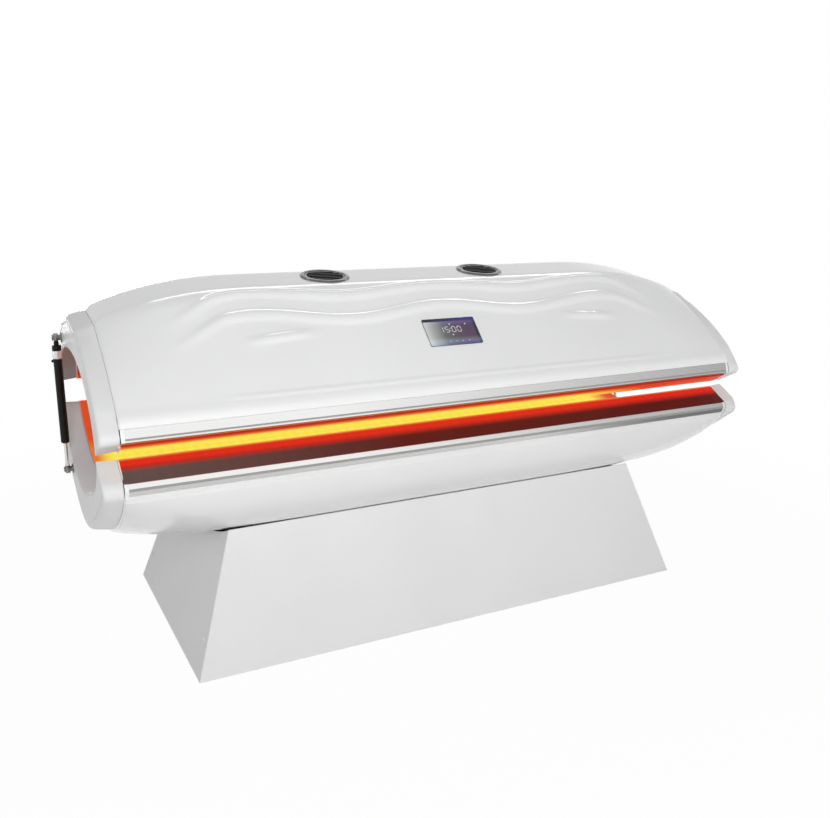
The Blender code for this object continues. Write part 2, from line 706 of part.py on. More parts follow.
def from_lip(line, count):
    """Close steps at the lip, then even ones to the middle."""
    close = [mix(line[0], line[1], share) for share in (0.0, 0.25, 0.6)]
    return close + spread(line[1:], count)


def throat_halves(line, wall, count):
    """The sheet's inner face where a rim meets it, front and back, each from its lip to the middle."""
    face = offset(line, wall)
    middle = len(face) // 2
    back = [(-y, z) for y, z in reversed(face[middle:])]
    return from_lip(face[CREST_POINT:middle + 1], count), from_lip(back[CREST_POINT:], count)


def both_sides(front, back):
    return front + mirrored(back)[1:]


def collar_x(x):
    """The shells' station that a rim follows at x: the rims are straighter than the shells."""
    start, end = COLLAR_LINES
    return HALF_TRIM + start + (end - start) * (abs(x) - HALF_TRIM) / RIM_DEPTH


def canopy_rim_outer(x):
    front = rim_lip(CANOPY_RIM_LIP, CANOPY_TRIM_Z)
    back = rim_lip(CANOPY_RIM_LIP, CANOPY_BACK_TRIM_Z)
    return front + canopy_plain_section(collar_x(x)) + mirrored(back)


def hull_rim_outer(x):
    lip = rim_lip(HULL_RIM_LIP, BED_TRIM_Z)
    return lip + hull_plain_section(collar_x(x)) + mirrored(lip)


def canopy_mouth():
    roof = HEIGHT - END_DROP - RIM_WIDTH
    count = len(canopy_plain_half(END_X)) + 1
    halves = []
    for crest_z, rise in ((CANOPY_CREST_Z, CANOPY_MOUTH[0]), (CANOPY_BACK_CREST_Z, CANOPY_MOUTH[1])):
        start = (-MOUTH_Y, crest_z - MOUTH_SET)
        lead = (-MOUTH_Y, start[1] + rise)
        halves.append(from_lip(bezier(start, lead, (-CANOPY_MOUTH[2], roof), (0.0, roof), 24), count))
    return both_sides(*halves), both_sides(*throat_halves(CANOPY_LINE, -ACRYLIC_WALL / 2, count))


def bed_mouth():
    floor = HULL_END_Z + RIM_WIDTH
    count = len(hull_plain_section(END_X)) // 2 + 1
    start = (-MOUTH_Y, BED_CREST_Z + MOUTH_SET)
    lead = (-MOUTH_Y, start[1] - BED_MOUTH[0])
    half = from_lip(bezier(start, lead, (-BED_MOUTH[1], floor), (0.0, floor), 24), count)
    return both_sides(half, half), both_sides(*throat_halves(BED_LINE, ACRYLIC_WALL / 2, count))


def make_rims():
    for side, hand in ((-1, "left"), (1, "right")):
        make_rim("canopy_end_rim_" + hand, side, canopy_rim_outer, *canopy_mouth())
        make_rim("bed_end_rim_" + hand, side, hull_rim_outer, *bed_mouth())


# Aluminium trims along both lips, front and back
def canopy_trim_outline(low):
    """Face with a nose, a tongue up inside the shell's lip, and a sharp lower edge."""
    top = CANOPY_LIP_Z - GAP
    seat = -LIP_Y + SHELL_WALL + SEAT
    tongue = top + 0.6 * LIP_RISE
    return [
        (-LIP_Y - 0.0015, top), (seat, top), (seat, tongue), (seat + TRIM_WALL, tongue),
        (seat + TRIM_WALL, low), (seat + 0.001, low),
        *[(-NOSE_Y, low + share * (top - low)) for share in CANOPY_NOSE],
    ]


def bed_trim_outline():
    """Bright upper band, dark lower band and a tongue down inside the shell's lip."""
    low = HULL_LIP_Z + GAP
    seat = -LIP_Y + RIM_STEP + SHELL_WALL + SEAT
    tongue = low - 0.6 * LIP_RISE
    return [
        (-LIP_Y - 0.0025, BED_TRIM_Z), *[(-NOSE_Y, low + share * BED_TRIM) for share in reversed(BED_NOSE)],
        (-LIP_Y - 0.0015, low), (seat, low), (seat, tongue), (seat + TRIM_WALL, tongue),
        (seat + TRIM_WALL, BED_TRIM_Z),
    ]


def make_trims():
    reach = HALF_TRIM - GAP
    for name, outline in (
        ("canopy_front_trim", canopy_trim_outline(CANOPY_TRIM_Z)),
        ("canopy_back_trim", mirrored(canopy_trim_outline(CANOPY_BACK_TRIM_Z))),
        ("bed_front_trim", bed_trim_outline()),
        ("bed_back_trim", mirrored(bed_trim_outline())),
    ):
        plate(name, outline, -reach, reach, ALUMINIUM, ALONG_X)


# Acrylic sheets, light boards, end plates and ribs
def make_lining():
    reach = PLATE_X - PLATE_WALL - GAP
    for name, line, board_line in (
        ("canopy", CANOPY_LINE, CANOPY_BOARD_LINE),
        ("bed", BED_LINE, BED_BOARD_LINE),
    ):
        plate(name + "_acrylic", ribbon(line, ACRYLIC_WALL), -reach, reach, RED_ACRYLIC, ALONG_X)
        plate(name + "_light_board", ribbon(board_line, BOARD_WALL), -reach, reach, LIGHT_BOARD, ALONG_X)


def shortened(line, share=0.25):
    """A line with its two end stretches cut back."""
    return [mix(line[0], line[1], share)] + line[1:-1] + [mix(line[-1], line[-2], share)]


def canopy_plate_outline():
    inside = offset(canopy_plain_section(HALF_TRIM), -SHELL_WALL - LINING_CLEARANCE)[3:-3]
    return inside + list(reversed(offset(shortened(CANOPY_LINE), -ACRYLIC_WALL / 2)))


def bed_plate_outline():
    inside = offset(hull_section(HALF_TRIM), SHELL_WALL + LINING_CLEARANCE)[4:-4]
    return offset(shortened(BED_LINE), ACRYLIC_WALL / 2) + list(reversed(inside))


def canopy_rib_outline(x):
    inside = offset(canopy_plain_section(x), -SHELL_WALL - LINING_CLEARANCE)[3:-3]
    return inside + list(reversed(offset(CANOPY_BOARD_LINE, BOARD_WALL / 2 + GAP)))


def bed_rib_outline(x):
    top = offset(BED_BOARD_LINE, -BOARD_WALL / 2 - GAP)
    inside = offset(hull_section(x), SHELL_WALL + LINING_CLEARANCE)
    return top + [point for point in reversed(inside) if top[0][0] <= point[0] <= top[-1][0]]


def make_plates_and_ribs():
    for side, hand in ((-1, "left"), (1, "right")):
        low, high = sorted((side * (PLATE_X - PLATE_WALL), side * PLATE_X))
        plate("canopy_end_plate_" + hand, canopy_plate_outline(), low, high, GREY_PLATE, ALONG_X)
        plate("bed_end_plate_" + hand, bed_plate_outline(), low, high, GREY_PLATE, ALONG_X)
        at = side * CANOPY_RIB_X
        outline = canopy_rib_outline(at)
        plate("canopy_rib_" + hand, outline, at - PLATE_WALL / 2, at + PLATE_WALL / 2, WHITE_SHEET, ALONG_X)
    for number, at in enumerate(BED_RIB_X, 1):
        outline = bed_rib_outline(abs(at) - PLATE_WALL / 2)
        plate(f"bed_rib_{number}", outline, at - PLATE_WALL / 2, at + PLATE_WALL / 2, WHITE_SHEET, ALONG_X)


# Plinth: four leaning sheet-metal panels, a floor tray and two bulkheads under the hull
def lean(axis):
    """Tilt from upright and slant height of the panels that face along X (0) or along Y (1)."""
    inward = FOOT[axis] - HEAD[axis]
    return math.atan2(inward, PLINTH_HEIGHT), math.hypot(inward, PLINTH_HEIGHT)


def panel_depth(z):
    """Half depth of the plinth inside its front and back panels at a height."""
    tilt = lean(1)[0]
    return FOOT[1] - z * math.tan(tilt) - PLATE_WALL / math.cos(tilt)


def top_edge_height():
    """The long panels' top edge, just under the hull at mid length."""
    inner = HEAD[1] - 1.1 * PLATE_WALL
    return hull_under(0.0, inner) - GAP


PLINTH_HEIGHT = top_edge_height()


def panel_frame(turn, reach, tilt):
    """Frame on a panel's outer face: X along its foot, Y up its slope, Z outward."""
    upright = Matrix.Rotation(math.pi / 2 - tilt, 4, "X")
    return Matrix.Rotation(turn, 4, "Z") @ Matrix.Translation((0, -reach, 0)) @ upright


def long_panel(name, turn):
    tilt, slant = lean(1)
    foot = FOOT[0]
    head = HEAD[0]
    outline = [(-foot, 0), (foot, 0), (head, slant), (-head, slant)]
    frame = panel_frame(turn, FOOT[1], tilt)
    return plate(name, outline, -PLATE_WALL, 0, WHITE_SHEET, frame)


def end_panel(name, turn):
    """An end panel between the long ones, hollowed along its top to follow the hull."""
    tilt = lean(0)[0]
    stretch = 1 / math.cos(tilt)
    head_x = HEAD[0]
    foot = panel_depth(0) - PANEL_CLEARANCE
    top = PLINTH_HEIGHT
    head = panel_depth(top) - PANEL_CLEARANCE
    rim = []
    steps = 16
    for i in range(steps + 1):
        y = head - 2 * head * i / steps
        rim.append((y, stretch * min(top, hull_under(head_x, y) - HULL_SHADOW)))
    frame = panel_frame(turn, FOOT[0], tilt)
    return plate(name, [(-foot, 0), (foot, 0)] + rim, -PLATE_WALL, 0, WHITE_SHEET, frame)


def bulkhead(name, side):
    """An upright web across the plinth that the hull rests on."""
    at = side * BULKHEAD_X
    top = PLINTH_HEIGHT - BULKHEAD_SET
    foot_z = PLATE_WALL + GAP
    head = panel_depth(top) - PANEL_CLEARANCE
    foot = panel_depth(foot_z) - PANEL_CLEARANCE
    steps = 16
    rim = []
    for i in range(steps + 1):
        y = head - 2 * head * i / steps
        rim.append((y, min(top, hull_under(BULKHEAD_X - PLATE_WALL, y) - GAP)))
    hole = circle((0.0, (foot_z + top) / 2 - CABLE_HOLE / 2), CABLE_HOLE)
    outline = [(-foot, foot_z), (foot, foot_z)] + rim
    return plate(name, outline, at - PLATE_WALL / 2, at + PLATE_WALL / 2, WHITE_SHEET, ALONG_X, [hole])


def make_plinth():
    long_panel("plinth_front_panel", 0.0)
    back = as_mesh(long_panel("plinth_back_panel", math.pi))
    end_panel("plinth_left_panel", -math.pi / 2)
    end_panel("plinth_right_panel", math.pi / 2)
    bulkhead("plinth_bulkhead_left", -1)
    bulkhead("plinth_bulkhead_right", 1)
    end_tilt = lean(0)[0]
    tray_x = FOOT[0] - PLATE_WALL / math.cos(end_tilt) - PLATE_WALL * math.tan(end_tilt) - GAP
    tray_y = panel_depth(PLATE_WALL) - GAP
    tray_frame = Matrix.Translation((0, 0, PLATE_WALL / 2))
    box("plinth_floor_tray", (2 * tray_x, 2 * tray_y, PLATE_WALL), WHITE_SHEET, tray_frame)
    for side, hand in ((-1, "left"), (1, "right")):
        height = PLATE_WALL + GAP + SUPPLY_SIZE[2] / 2
        supply_frame = Matrix.Translation((side * SUPPLY_X, 0, height))
        ease(box("power_supply_" + hand, SUPPLY_SIZE, GREY_PLATE, supply_frame), SUPPLY_ROUND)
    make_inlet(back)


def make_inlet(back):
    """Mains inlet: a flanged socket set in the back panel."""
    frame = panel_frame(math.pi, FOOT[1], lean(1)[0])
    at = frame @ Matrix.Translation((BULKHEAD_X + INLET_AT[0], INLET_AT[1], 0))
    opening = (INLET_SIZE[0] + 2 * GAP, INLET_SIZE[1] + 2 * GAP, 6 * PLATE_WALL)
    combine(back, box("inlet_cutter", opening, WHITE_SHEET, at, CUTTERS), "DIFFERENCE")
    flange_at = at @ Matrix.Translation((0, 0, GAP + INLET_FLANGE[2] / 2))
    inlet = box("mains_inlet", INLET_FLANGE, BLACK_PLASTIC, flange_at)
    body_at = at @ Matrix.Translation((0, 0, GAP + INLET_FLANGE[2] / 2 - INLET_SIZE[2] / 2))
    combine(inlet, box("inlet_body", INLET_SIZE, BLACK_PLASTIC, body_at, CUTTERS), "UNION")
    well = (INLET_SIZE[0] - 2 * INLET_WALL[0], INLET_SIZE[1] - 2 * INLET_WALL[1], INLET_SIZE[2])
    well_at = at @ Matrix.Translation((0, 0, INLET_FLANGE[2] + GAP))
    combine(inlet, box("inlet_well", well, BLACK_PLASTIC, well_at, CUTTERS), "DIFFERENCE")


# Back hinges: a leaf on each trim and one pin through both knuckles
def leaf_outline(up):
    """Leaf plate and knuckle in (y, z); up is 1 on the canopy and -1 on the bed."""
    near = NOSE_Y + GAP
    far = near + LEAF_WALL
    reach = HINGE_Z + up * LEAF_REACH
    steps = 20
    start = math.pi
    end = -math.acos((far - HINGE_Y) / KNUCKLE_R)
    arc = []
    for i in range(steps + 1):
        a = start + (end - start) * i / steps
        arc.append((HINGE_Y + KNUCKLE_R * math.cos(a), HINGE_Z - up * KNUCKLE_R * math.sin(a)))
    return [(near, reach), (near, HINGE_Z)] + arc + [(far, reach)]


def make_hinges():
    bore = circle((HINGE_Y, HINGE_Z), PIN_R + GAP, 20)
    for side, hand in ((-1, "left"), (1, "right")):
        middle = side * HINGE_X
        low, high = sorted((middle - side * GAP, middle - side * LEAF_LENGTH))
        plate("hinge_leaf_bed_" + hand, leaf_outline(-1), low, high, STEEL, ALONG_X, [bore])
        low, high = sorted((middle + side * GAP, middle + side * LEAF_LENGTH))
        plate("hinge_leaf_canopy_" + hand, leaf_outline(1), low, high, STEEL, ALONG_X, [bore])
        along = Matrix.Translation((middle, HINGE_Y, HINGE_Z)) @ Matrix.Rotation(math.pi / 2, 4, "Y")
        smooth(cylinder("hinge_pin_" + hand, PIN_R, 2 * (LEAF_LENGTH + PIN_STICKOUT), STEEL, along, 20))


# Gas springs at both ends
STRUT_LENGTH = math.dist(UPPER_PIN, LOWER_PIN)
STRUT_LEAN = -math.atan2(UPPER_PIN[0] - LOWER_PIN[0], UPPER_PIN[1] - LOWER_PIN[1])


def pin_frame(side, pin):
    """Frame on a pin with Z along the spring, upward."""
    return Matrix.Translation((side * STRUT_X, *pin)) @ Matrix.Rotation(STRUT_LEAN, 4, "X")


def with_eye(piece, frame):
    """Join a flat eye round the pin onto a spring end and bore it."""
    across = frame @ Matrix.Rotation(math.pi / 2, 4, "Y")
    eye = cylinder(piece.name + "_eye", EYE_R, EYE_WALL, STEEL, across, 20, CUTTERS)
    combine(piece, eye, "UNION")
    bore_r = STUD_R + STUD_CLEARANCE
    bore = cylinder(piece.name + "_bore", bore_r, 2 * EYE_WALL, STEEL, across, 16, CUTTERS)
    combine(piece, bore, "DIFFERENCE")
    return piece


def tube_profile():
    """Half section of the tube, hung from the upper pin."""
    neck_r, neck_top, neck_low = NECK
    collar_r = TUBE_R + TUBE_COLLAR
    mouth = -TUBE_TOP - TUBE_LENGTH
    return [
        (0, -neck_top), (neck_r, -neck_top), (neck_r, -neck_low), (collar_r - 0.002, -neck_low - 0.001),
        (collar_r, -neck_low - 0.003), (collar_r, -TUBE_TOP + 0.001), (TUBE_R, -TUBE_TOP),
        (TUBE_R, mouth + 0.003), (TUBE_R - 0.003, mouth), (BORE_R, mouth), (BORE_R, -BORE_TOP),
        (0, -BORE_TOP),
    ]


def rod_profile():
    """Half section of the rod, standing on the lower pin."""
    tip = STRUT_LENGTH - BORE_TOP - ROD_PLAY
    foot_r, foot_low, foot_top = ROD_FOOT
    return [
        (0, tip), (ROD_R - 0.001, tip), (ROD_R, tip - 0.001), (ROD_R, foot_top), (foot_r, foot_top - 0.001),
        (foot_r, foot_low), (0, foot_low),
    ]


def stud_profile():
    """Half section of a pin: disc on the rim, collar, shank through the eye, and head."""
    near = STRUT_STANDOFF - EYE_WALL / 2 - GAP
    far = STRUT_STANDOFF + EYE_WALL / 2 + GAP
    head_r, head = STUD_HEAD
    disc_r, disc = STUD_DISC
    return [
        (0, far + head), (head_r, far + 0.75 * head), (head_r, far), (STUD_R, far), (STUD_R, near),
        (STUD_COLLAR_R, near), (STUD_COLLAR_R, GAP + disc), (disc_r, GAP + disc), (disc_r, GAP), (0, GAP),
    ]


def make_struts():
    for side, hand in ((-1, "left"), (1, "right")):
        upper = pin_frame(side, UPPER_PIN)
        lower = pin_frame(side, LOWER_PIN)
        with_eye(turned("strut_tube_" + hand, tube_profile(), BLACK_PAINT, upper, False, 16), upper)
        with_eye(turned("strut_rod_" + hand, rod_profile(), CHROME, lower, False, 16), lower)
        for name, pin in (("strut_stud_upper_", UPPER_PIN), ("strut_stud_lower_", LOWER_PIN)):
            face = Matrix.Translation((side * END_X, *pin)) @ Matrix.Rotation(side * math.pi / 2, 4, "Y")
            turned(name + hand, stud_profile(), STEEL, face, False, 16)


# Air outlets and fans under the roof deck
def vent_frame(side):
    """Frame on the deck's outer face with Z outward."""
    rise = DECK_Z - DECK_EDGE_Z
    run = DECK_EDGE_Y - DECK_Y
    z = DECK_EDGE_Z + rise * (DECK_EDGE_Y - VENT_Y) / run
    tilt = Matrix.Rotation(math.atan2(rise, run), 4, "X")
    return Matrix.Translation((VENT_MIDDLE + side * VENT_X, -VENT_Y, z)) @ tilt


FAN_TOP = -SKIRT - GAP
FAN_FLOOR = FAN_TOP - FAN_DEPTH


def make_vents(roof):
    for side, hand in ((-1, "left"), (1, "right")):
        frame = vent_frame(side)
        hole = cylinder("vent_cutter_" + hand, VENT_HOLE_R, CUT_DEPTH, WHITE_SHELL, frame, 48, CUTTERS)
        combine(roof, hole, "DIFFERENCE")
        smooth(turned("vent_bezel_" + hand, bezel_profile(), CHROME, frame))
        make_louvre(frame, hand)
        make_fan(frame, hand)
        make_rotor(frame, hand)


def bezel_profile():
    """Half section of the ring: crown over the deck, skirt through the hole, ledge under the louvre."""
    skirt_r = VENT_HOLE_R - GAP
    well_r = LOUVRE_R + LOUVRE_CLEARANCE
    ledge_r = well_r - LEDGE[0]
    shelf = -SKIRT + LEDGE[1]
    return [
        (VENT_R - 0.0035, 0.96 * VENT_CROWN), (VENT_R - 0.0007, 0.64 * VENT_CROWN),
        (VENT_R, 0.32 * VENT_CROWN), (VENT_R, GAP), (skirt_r, GAP), (skirt_r, -SKIRT), (ledge_r, -SKIRT),
        (ledge_r, shelf), (well_r, shelf), (well_r, 0.77 * VENT_CROWN), (well_r + 0.002, VENT_CROWN),
    ]


def make_louvre(frame, hand):
    """A ring with slanted vanes that turns in the bezel."""
    wall, top = LOUVRE_RING
    low = -SKIRT + LEDGE[1] + GAP
    inner = LOUVRE_R - wall
    ring = [(LOUVRE_R, top), (LOUVRE_R, low), (inner, low), (inner, top)]
    louvre = turned("vent_louvre_" + hand, ring, CHROME, frame)
    shape = bmesh.new()
    slant = Matrix.Rotation(math.radians(VANE_SLANT), 4, "X")
    for i in range(VANES):
        across = (i - (VANES - 1) / 2) * VANE_PITCH
        length = 2 * math.sqrt((LOUVRE_R - 0.6 * wall) ** 2 - across ** 2) - 0.8 * wall
        block = bmesh.ops.create_cube(shape, size=1.0)["verts"]
        bmesh.ops.scale(shape, vec=Vector((length, *VANE_SIZE)), verts=block)
        bmesh.ops.transform(shape, matrix=Matrix.Translation((0, across, VANE_HEIGHT)) @ slant, verts=block)
    combine(louvre, from_bmesh("vane_tool_" + hand, shape, CHROME, frame, CUTTERS), "UNION")


def make_fan(frame, hand):
    """A square fan frame with a round throat and a spider for the rotor."""
    middle = frame @ Matrix.Translation((0, 0, (FAN_TOP + FAN_FLOOR) / 2))
    housing = box("fan_frame_" + hand, (FAN_SIZE, FAN_SIZE, FAN_DEPTH), BLACK_PLASTIC, middle)
    throat_r = FAN_SIZE / 2 - FAN_WALL
    throat = cylinder("fan_throat_" + hand, throat_r, 2 * FAN_DEPTH, BLACK_PLASTIC, middle, 32, CUTTERS)
    combine(housing, throat, "DIFFERENCE")
    arm, wall = SPIDER
    low = frame @ Matrix.Translation((0, 0, FAN_FLOOR + wall / 2))
    span = FAN_SIZE - 0.4 * FAN_WALL
    for name, size in (("along", (span, arm, wall)), ("across", (arm, span, wall))):
        combine(housing, box(f"fan_arm_{name}_{hand}", size, BLACK_PLASTIC, low, CUTTERS), "UNION")
    boss = cylinder("fan_boss_" + hand, FAN_HUB_R, wall, BLACK_PLASTIC, low, 24, CUTTERS)
    combine(housing, boss, "UNION")


def make_rotor(frame, hand):
    """A hub with pitched blades, wider at their tips."""
    hub_low = FAN_FLOOR + SPIDER[1] + ROTOR_SET[0]
    hub_high = FAN_TOP - ROTOR_SET[1]
    hub_frame = frame @ Matrix.Translation((0, 0, (hub_low + hub_high) / 2))
    hub_r = 0.95 * FAN_HUB_R
    rotor = cylinder("fan_rotor_" + hand, hub_r, hub_high - hub_low, BLACK_PLASTIC, hub_frame, 28)
    shape = bmesh.new()
    pitch = Matrix.Rotation(math.radians(BLADE_PITCH), 4, "X")
    tip_r = FAN_SIZE / 2 - FAN_WALL - BLADE_CLEARANCE
    for i in range(BLADES):
        block = bmesh.ops.create_cube(shape, size=1.0)["verts"]
        for corner in block:
            at_tip = corner.co.x > 0
            corner.co.x = tip_r if at_tip else 0.8 * FAN_HUB_R
            corner.co.y *= BLADE_WIDTHS[1] if at_tip else BLADE_WIDTHS[0]
            corner.co.z *= BLADE_WALL
        turn = Matrix.Rotation(2 * math.pi * i / BLADES, 4, "Z")
        bmesh.ops.transform(shape, matrix=turn @ pitch, verts=block)
    combine(rotor, from_bmesh("blade_tool_" + hand, shape, BLACK_PLASTIC, hub_frame, CUTTERS), "UNION")


# Touch screen on the front slope, with its module and control board behind
def make_screen(roof):
    y, z = slope_point(SCREEN_SLOPE, 0.0)
    slope = math.atan2(SHOULDER_Z - CREASE_Z, CREASE_Y - SHOULDER_Y)
    frame = Matrix.Translation((0, y, z)) @ Matrix.Rotation(slope, 4, "X")
    combine(roof, box("screen_cutter", (*SCREEN_HOLE, CUT_DEPTH), WHITE_SHELL, frame, CUTTERS), "DIFFERENCE")
    width, height, wall = SCREEN_SIZE
    plate("touch_screen", rounded(width, height, SCREEN_ROUND), GAP, GAP + wall, DARK_GLASS, frame)
    module = (SCREEN_HOLE[0] - 2 * MODULE_CLEARANCE, SCREEN_HOLE[1] - 2 * MODULE_CLEARANCE, MODULE_DEPTH)
    module_frame = frame @ Matrix.Translation((0, 0, -MODULE_DEPTH / 2))
    ease(box("display_module", module, BLACK_PLASTIC, module_frame), MODULE_ROUND)
    board_frame = frame @ Matrix.Translation((0, 0, -MODULE_DEPTH - GAP - BOARD_SIZE[2] / 2))
    box("control_board", BOARD_SIZE, BOARD_GREEN, board_frame)


# Everything the canopy carries hangs on an empty at the hinge axis
def hang_on_hinge():
    hinge = bpy.data.objects.new("canopy_hinge_axis", None)
    hinge.location = (0, HINGE_Y, HINGE_Z)
    PARTS.objects.link(hinge)
    bpy.context.view_layer.update()
    back = hinge.matrix_world.inverted()
    for piece in PARTS.objects:
        if piece.name.startswith(CANOPY_PIECES):
            piece.parent = hinge
            piece.matrix_parent_inverse = back


CANOPY_PIECES = (
    "canopy_shell", "canopy_end", "canopy_front", "canopy_back", "canopy_acrylic", "canopy_light",
    "canopy_rib", "vent_", "fan_", "touch_", "display_", "control_", "hinge_leaf_canopy", "strut_tube",
    "strut_stud_upper",
)

roof = make_canopy_shell()
make_hull_shell()
make_rims()
make_trims()
make_lining()
make_plates_and_ribs()
make_plinth()
make_hinges()
make_struts()
make_vents(roof)
make_screen(roof)
hang_on_hinge()
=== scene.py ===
# %% [markdown]
# # A lie-in light bed in a white studio
# The bed has two white halves, a hull and a lifting canopy, round a tunnel of acrylic that glows red.
# This lesson dresses the engineered model: its smooth shells are drawn again with more points, its plain
# solids get eased edges, and every surface gets a finish made of nodes.
# The engineered model itself stays where it is, so each new piece only takes the place of an old one.

# %% Load the engineered model
import json
import math

import bmesh
import bpy
import numpy as np
from mathutils import Matrix, Vector


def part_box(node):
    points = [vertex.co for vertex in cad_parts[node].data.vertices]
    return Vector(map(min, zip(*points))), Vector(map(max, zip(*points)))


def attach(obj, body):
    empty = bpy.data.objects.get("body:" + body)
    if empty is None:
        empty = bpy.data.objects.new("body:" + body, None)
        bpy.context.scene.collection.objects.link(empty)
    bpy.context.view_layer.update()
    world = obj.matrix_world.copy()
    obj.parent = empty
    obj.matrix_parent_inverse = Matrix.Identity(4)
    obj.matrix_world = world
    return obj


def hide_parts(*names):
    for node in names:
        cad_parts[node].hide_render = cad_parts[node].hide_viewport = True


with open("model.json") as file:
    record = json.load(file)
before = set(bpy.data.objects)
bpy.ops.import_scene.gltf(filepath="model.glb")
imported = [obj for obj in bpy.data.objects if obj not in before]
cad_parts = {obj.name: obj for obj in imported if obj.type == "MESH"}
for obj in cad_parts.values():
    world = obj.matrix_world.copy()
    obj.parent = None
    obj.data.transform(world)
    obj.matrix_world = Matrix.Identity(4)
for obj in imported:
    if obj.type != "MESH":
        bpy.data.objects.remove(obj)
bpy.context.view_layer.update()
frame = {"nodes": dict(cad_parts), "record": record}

scene = bpy.context.scene
scene.view_settings.view_transform = "Standard"
nodes = frame["nodes"]
body_of_node = {name: body for body, names in frame["record"]["behaviour"]["bodies"].items() for name in names}

# %% [markdown]
# ## Camera
# The photograph was taken from in front of the left end, a little over the canopy.
# A camera can be placed by eye, but corners and edges that the model and the photograph share give its
# place and lens more closely: these values come from such a fit, so the two pictures can be laid over
# each other.

# %% Camera
camera = bpy.data.objects.new("studio_camera", bpy.data.cameras.new("studio_camera"))
camera.data.lens = 38.45
camera.data.sensor_width = 36
camera.location = (-1.1761, -2.3541, 1.1561)
camera_yaw, camera_pitch = 0.4734, -0.2318
look = Vector((
    math.sin(camera_yaw) * math.cos(camera_pitch),
    math.cos(camera_yaw) * math.cos(camera_pitch),
    math.sin(camera_pitch),
))
camera.rotation_euler = look.to_track_quat("-Z", "Y").to_euler()
scene.collection.objects.link(camera)
scene.camera = camera
print("camera", round(camera.location.length, 2), "m from the middle of the floor")

# %% [markdown]
# ## White surroundings
# A studio shot on white has no horizon. Flooding the scene with light would wash the shells out, so the
# surroundings are white only for rays that come from the camera, a mirror or glass. Diffuse rays see a
# dimmer world, which keeps the object's own light level plain.


# %% White surroundings
def add_node(tree, kind, inputs=None, **settings):
    """A node with its settings and unlinked values in one go."""
    made = tree.nodes.new(kind)
    for name, value in settings.items():
        setattr(made, name, value)
    for name, value in (inputs or {}).items():
        made.inputs[name].default_value = value
    return made


def seen_directly(tree):
    """1 for camera, mirror and glass rays, and 0 for the rest."""
    path = add_node(tree, "ShaderNodeLightPath")
    first = add_node(tree, "ShaderNodeMath", operation="ADD")
    both = add_node(tree, "ShaderNodeMath", operation="ADD", use_clamp=True)
    tree.links.new(path.outputs["Is Camera Ray"], first.inputs[0])
    tree.links.new(path.outputs["Is Glossy Ray"], first.inputs[1])
    tree.links.new(first.outputs[0], both.inputs[0])
    tree.links.new(path.outputs["Is Transmission Ray"], both.inputs[1])
    return both.outputs[0]


world = bpy.data.worlds.new("white_studio")
scene.world = world
world.use_nodes = True
sky = world.node_tree
sky.nodes.clear()
dim = add_node(sky, "ShaderNodeBackground", {"Color": (0.97, 0.98, 1.0, 1), "Strength": 0.27})
white = add_node(sky, "ShaderNodeBackground", {"Color": (1, 1, 1, 1), "Strength": 1.0})
which = add_node(sky, "ShaderNodeMixShader")
sky_out = add_node(sky, "ShaderNodeOutputWorld")
sky.links.new(seen_directly(sky), which.inputs[0])
sky.links.new(dim.outputs[0], which.inputs[1])
sky.links.new(white.outputs[0], which.inputs[2])
sky.links.new(which.outputs[0], sky_out.inputs["Surface"])
print("world nodes", len(sky.nodes))

# %% [markdown]
# ## Floor
# A pale floor carries the bed's soft shadow. To the camera it glows almost white, and the share of matt
# paint that is left near the bed shows the shade round the plinth. Further out the glow takes over, so
# the floor runs into the background without an edge. A shadow catcher would need a second layer.


# %% Floor
def remap(tree, value, low, high, new_low=0.0, new_high=1.0):
    """Carry a range of values over to another one; what lies outside is held at its ends."""
    spread = add_node(tree, "ShaderNodeMapRange", {1: low, 2: high, 3: new_low, 4: new_high})
    tree.links.new(value, spread.inputs[0])
    return spread.outputs[0]


FLOOR_HALF, FLOOR_DROP = 30, 0.0005
PAINT_ENDS, GLOW_NEAR = (1.0, 3.0), 0.955
floor_mesh = bpy.data.meshes.new("studio_floor")
floor_shape = bmesh.new()
bmesh.ops.create_grid(floor_shape, x_segments=1, y_segments=1, size=FLOOR_HALF)
floor_shape.to_mesh(floor_mesh)
floor_shape.free()
floor = bpy.data.objects.new("studio_floor", floor_mesh)
floor.location.z = -FLOOR_DROP
scene.collection.objects.link(floor)
floor_paint = bpy.data.materials.new("studio_floor_paint")
floor_paint.use_nodes = True
tree = floor_paint.node_tree
tree.nodes.clear()
matt = add_node(tree, "ShaderNodeBsdfDiffuse", {"Color": (0.88, 0.88, 0.88, 1)})
glow = add_node(tree, "ShaderNodeEmission", {"Color": (1, 1, 1, 1), "Strength": 1.0})
cover = add_node(tree, "ShaderNodeMixShader")
floor_out = add_node(tree, "ShaderNodeOutputMaterial")
place = add_node(tree, "ShaderNodeTexCoord")
away = add_node(tree, "ShaderNodeVectorMath", operation="LENGTH")
shown = add_node(tree, "ShaderNodeMath", operation="MULTIPLY")
tree.links.new(place.outputs["Object"], away.inputs[0])
tree.links.new(seen_directly(tree), shown.inputs[0])
tree.links.new(remap(tree, away.outputs["Value"], *PAINT_ENDS, GLOW_NEAR, 1.0), shown.inputs[1])
tree.links.new(shown.outputs[0], cover.inputs[0])
tree.links.new(matt.outputs[0], cover.inputs[1])
tree.links.new(glow.outputs[0], cover.inputs[2])
tree.links.new(cover.outputs[0], floor_out.inputs["Surface"])
floor_mesh.materials.append(floor_paint)
print("floor at", floor.location.z)

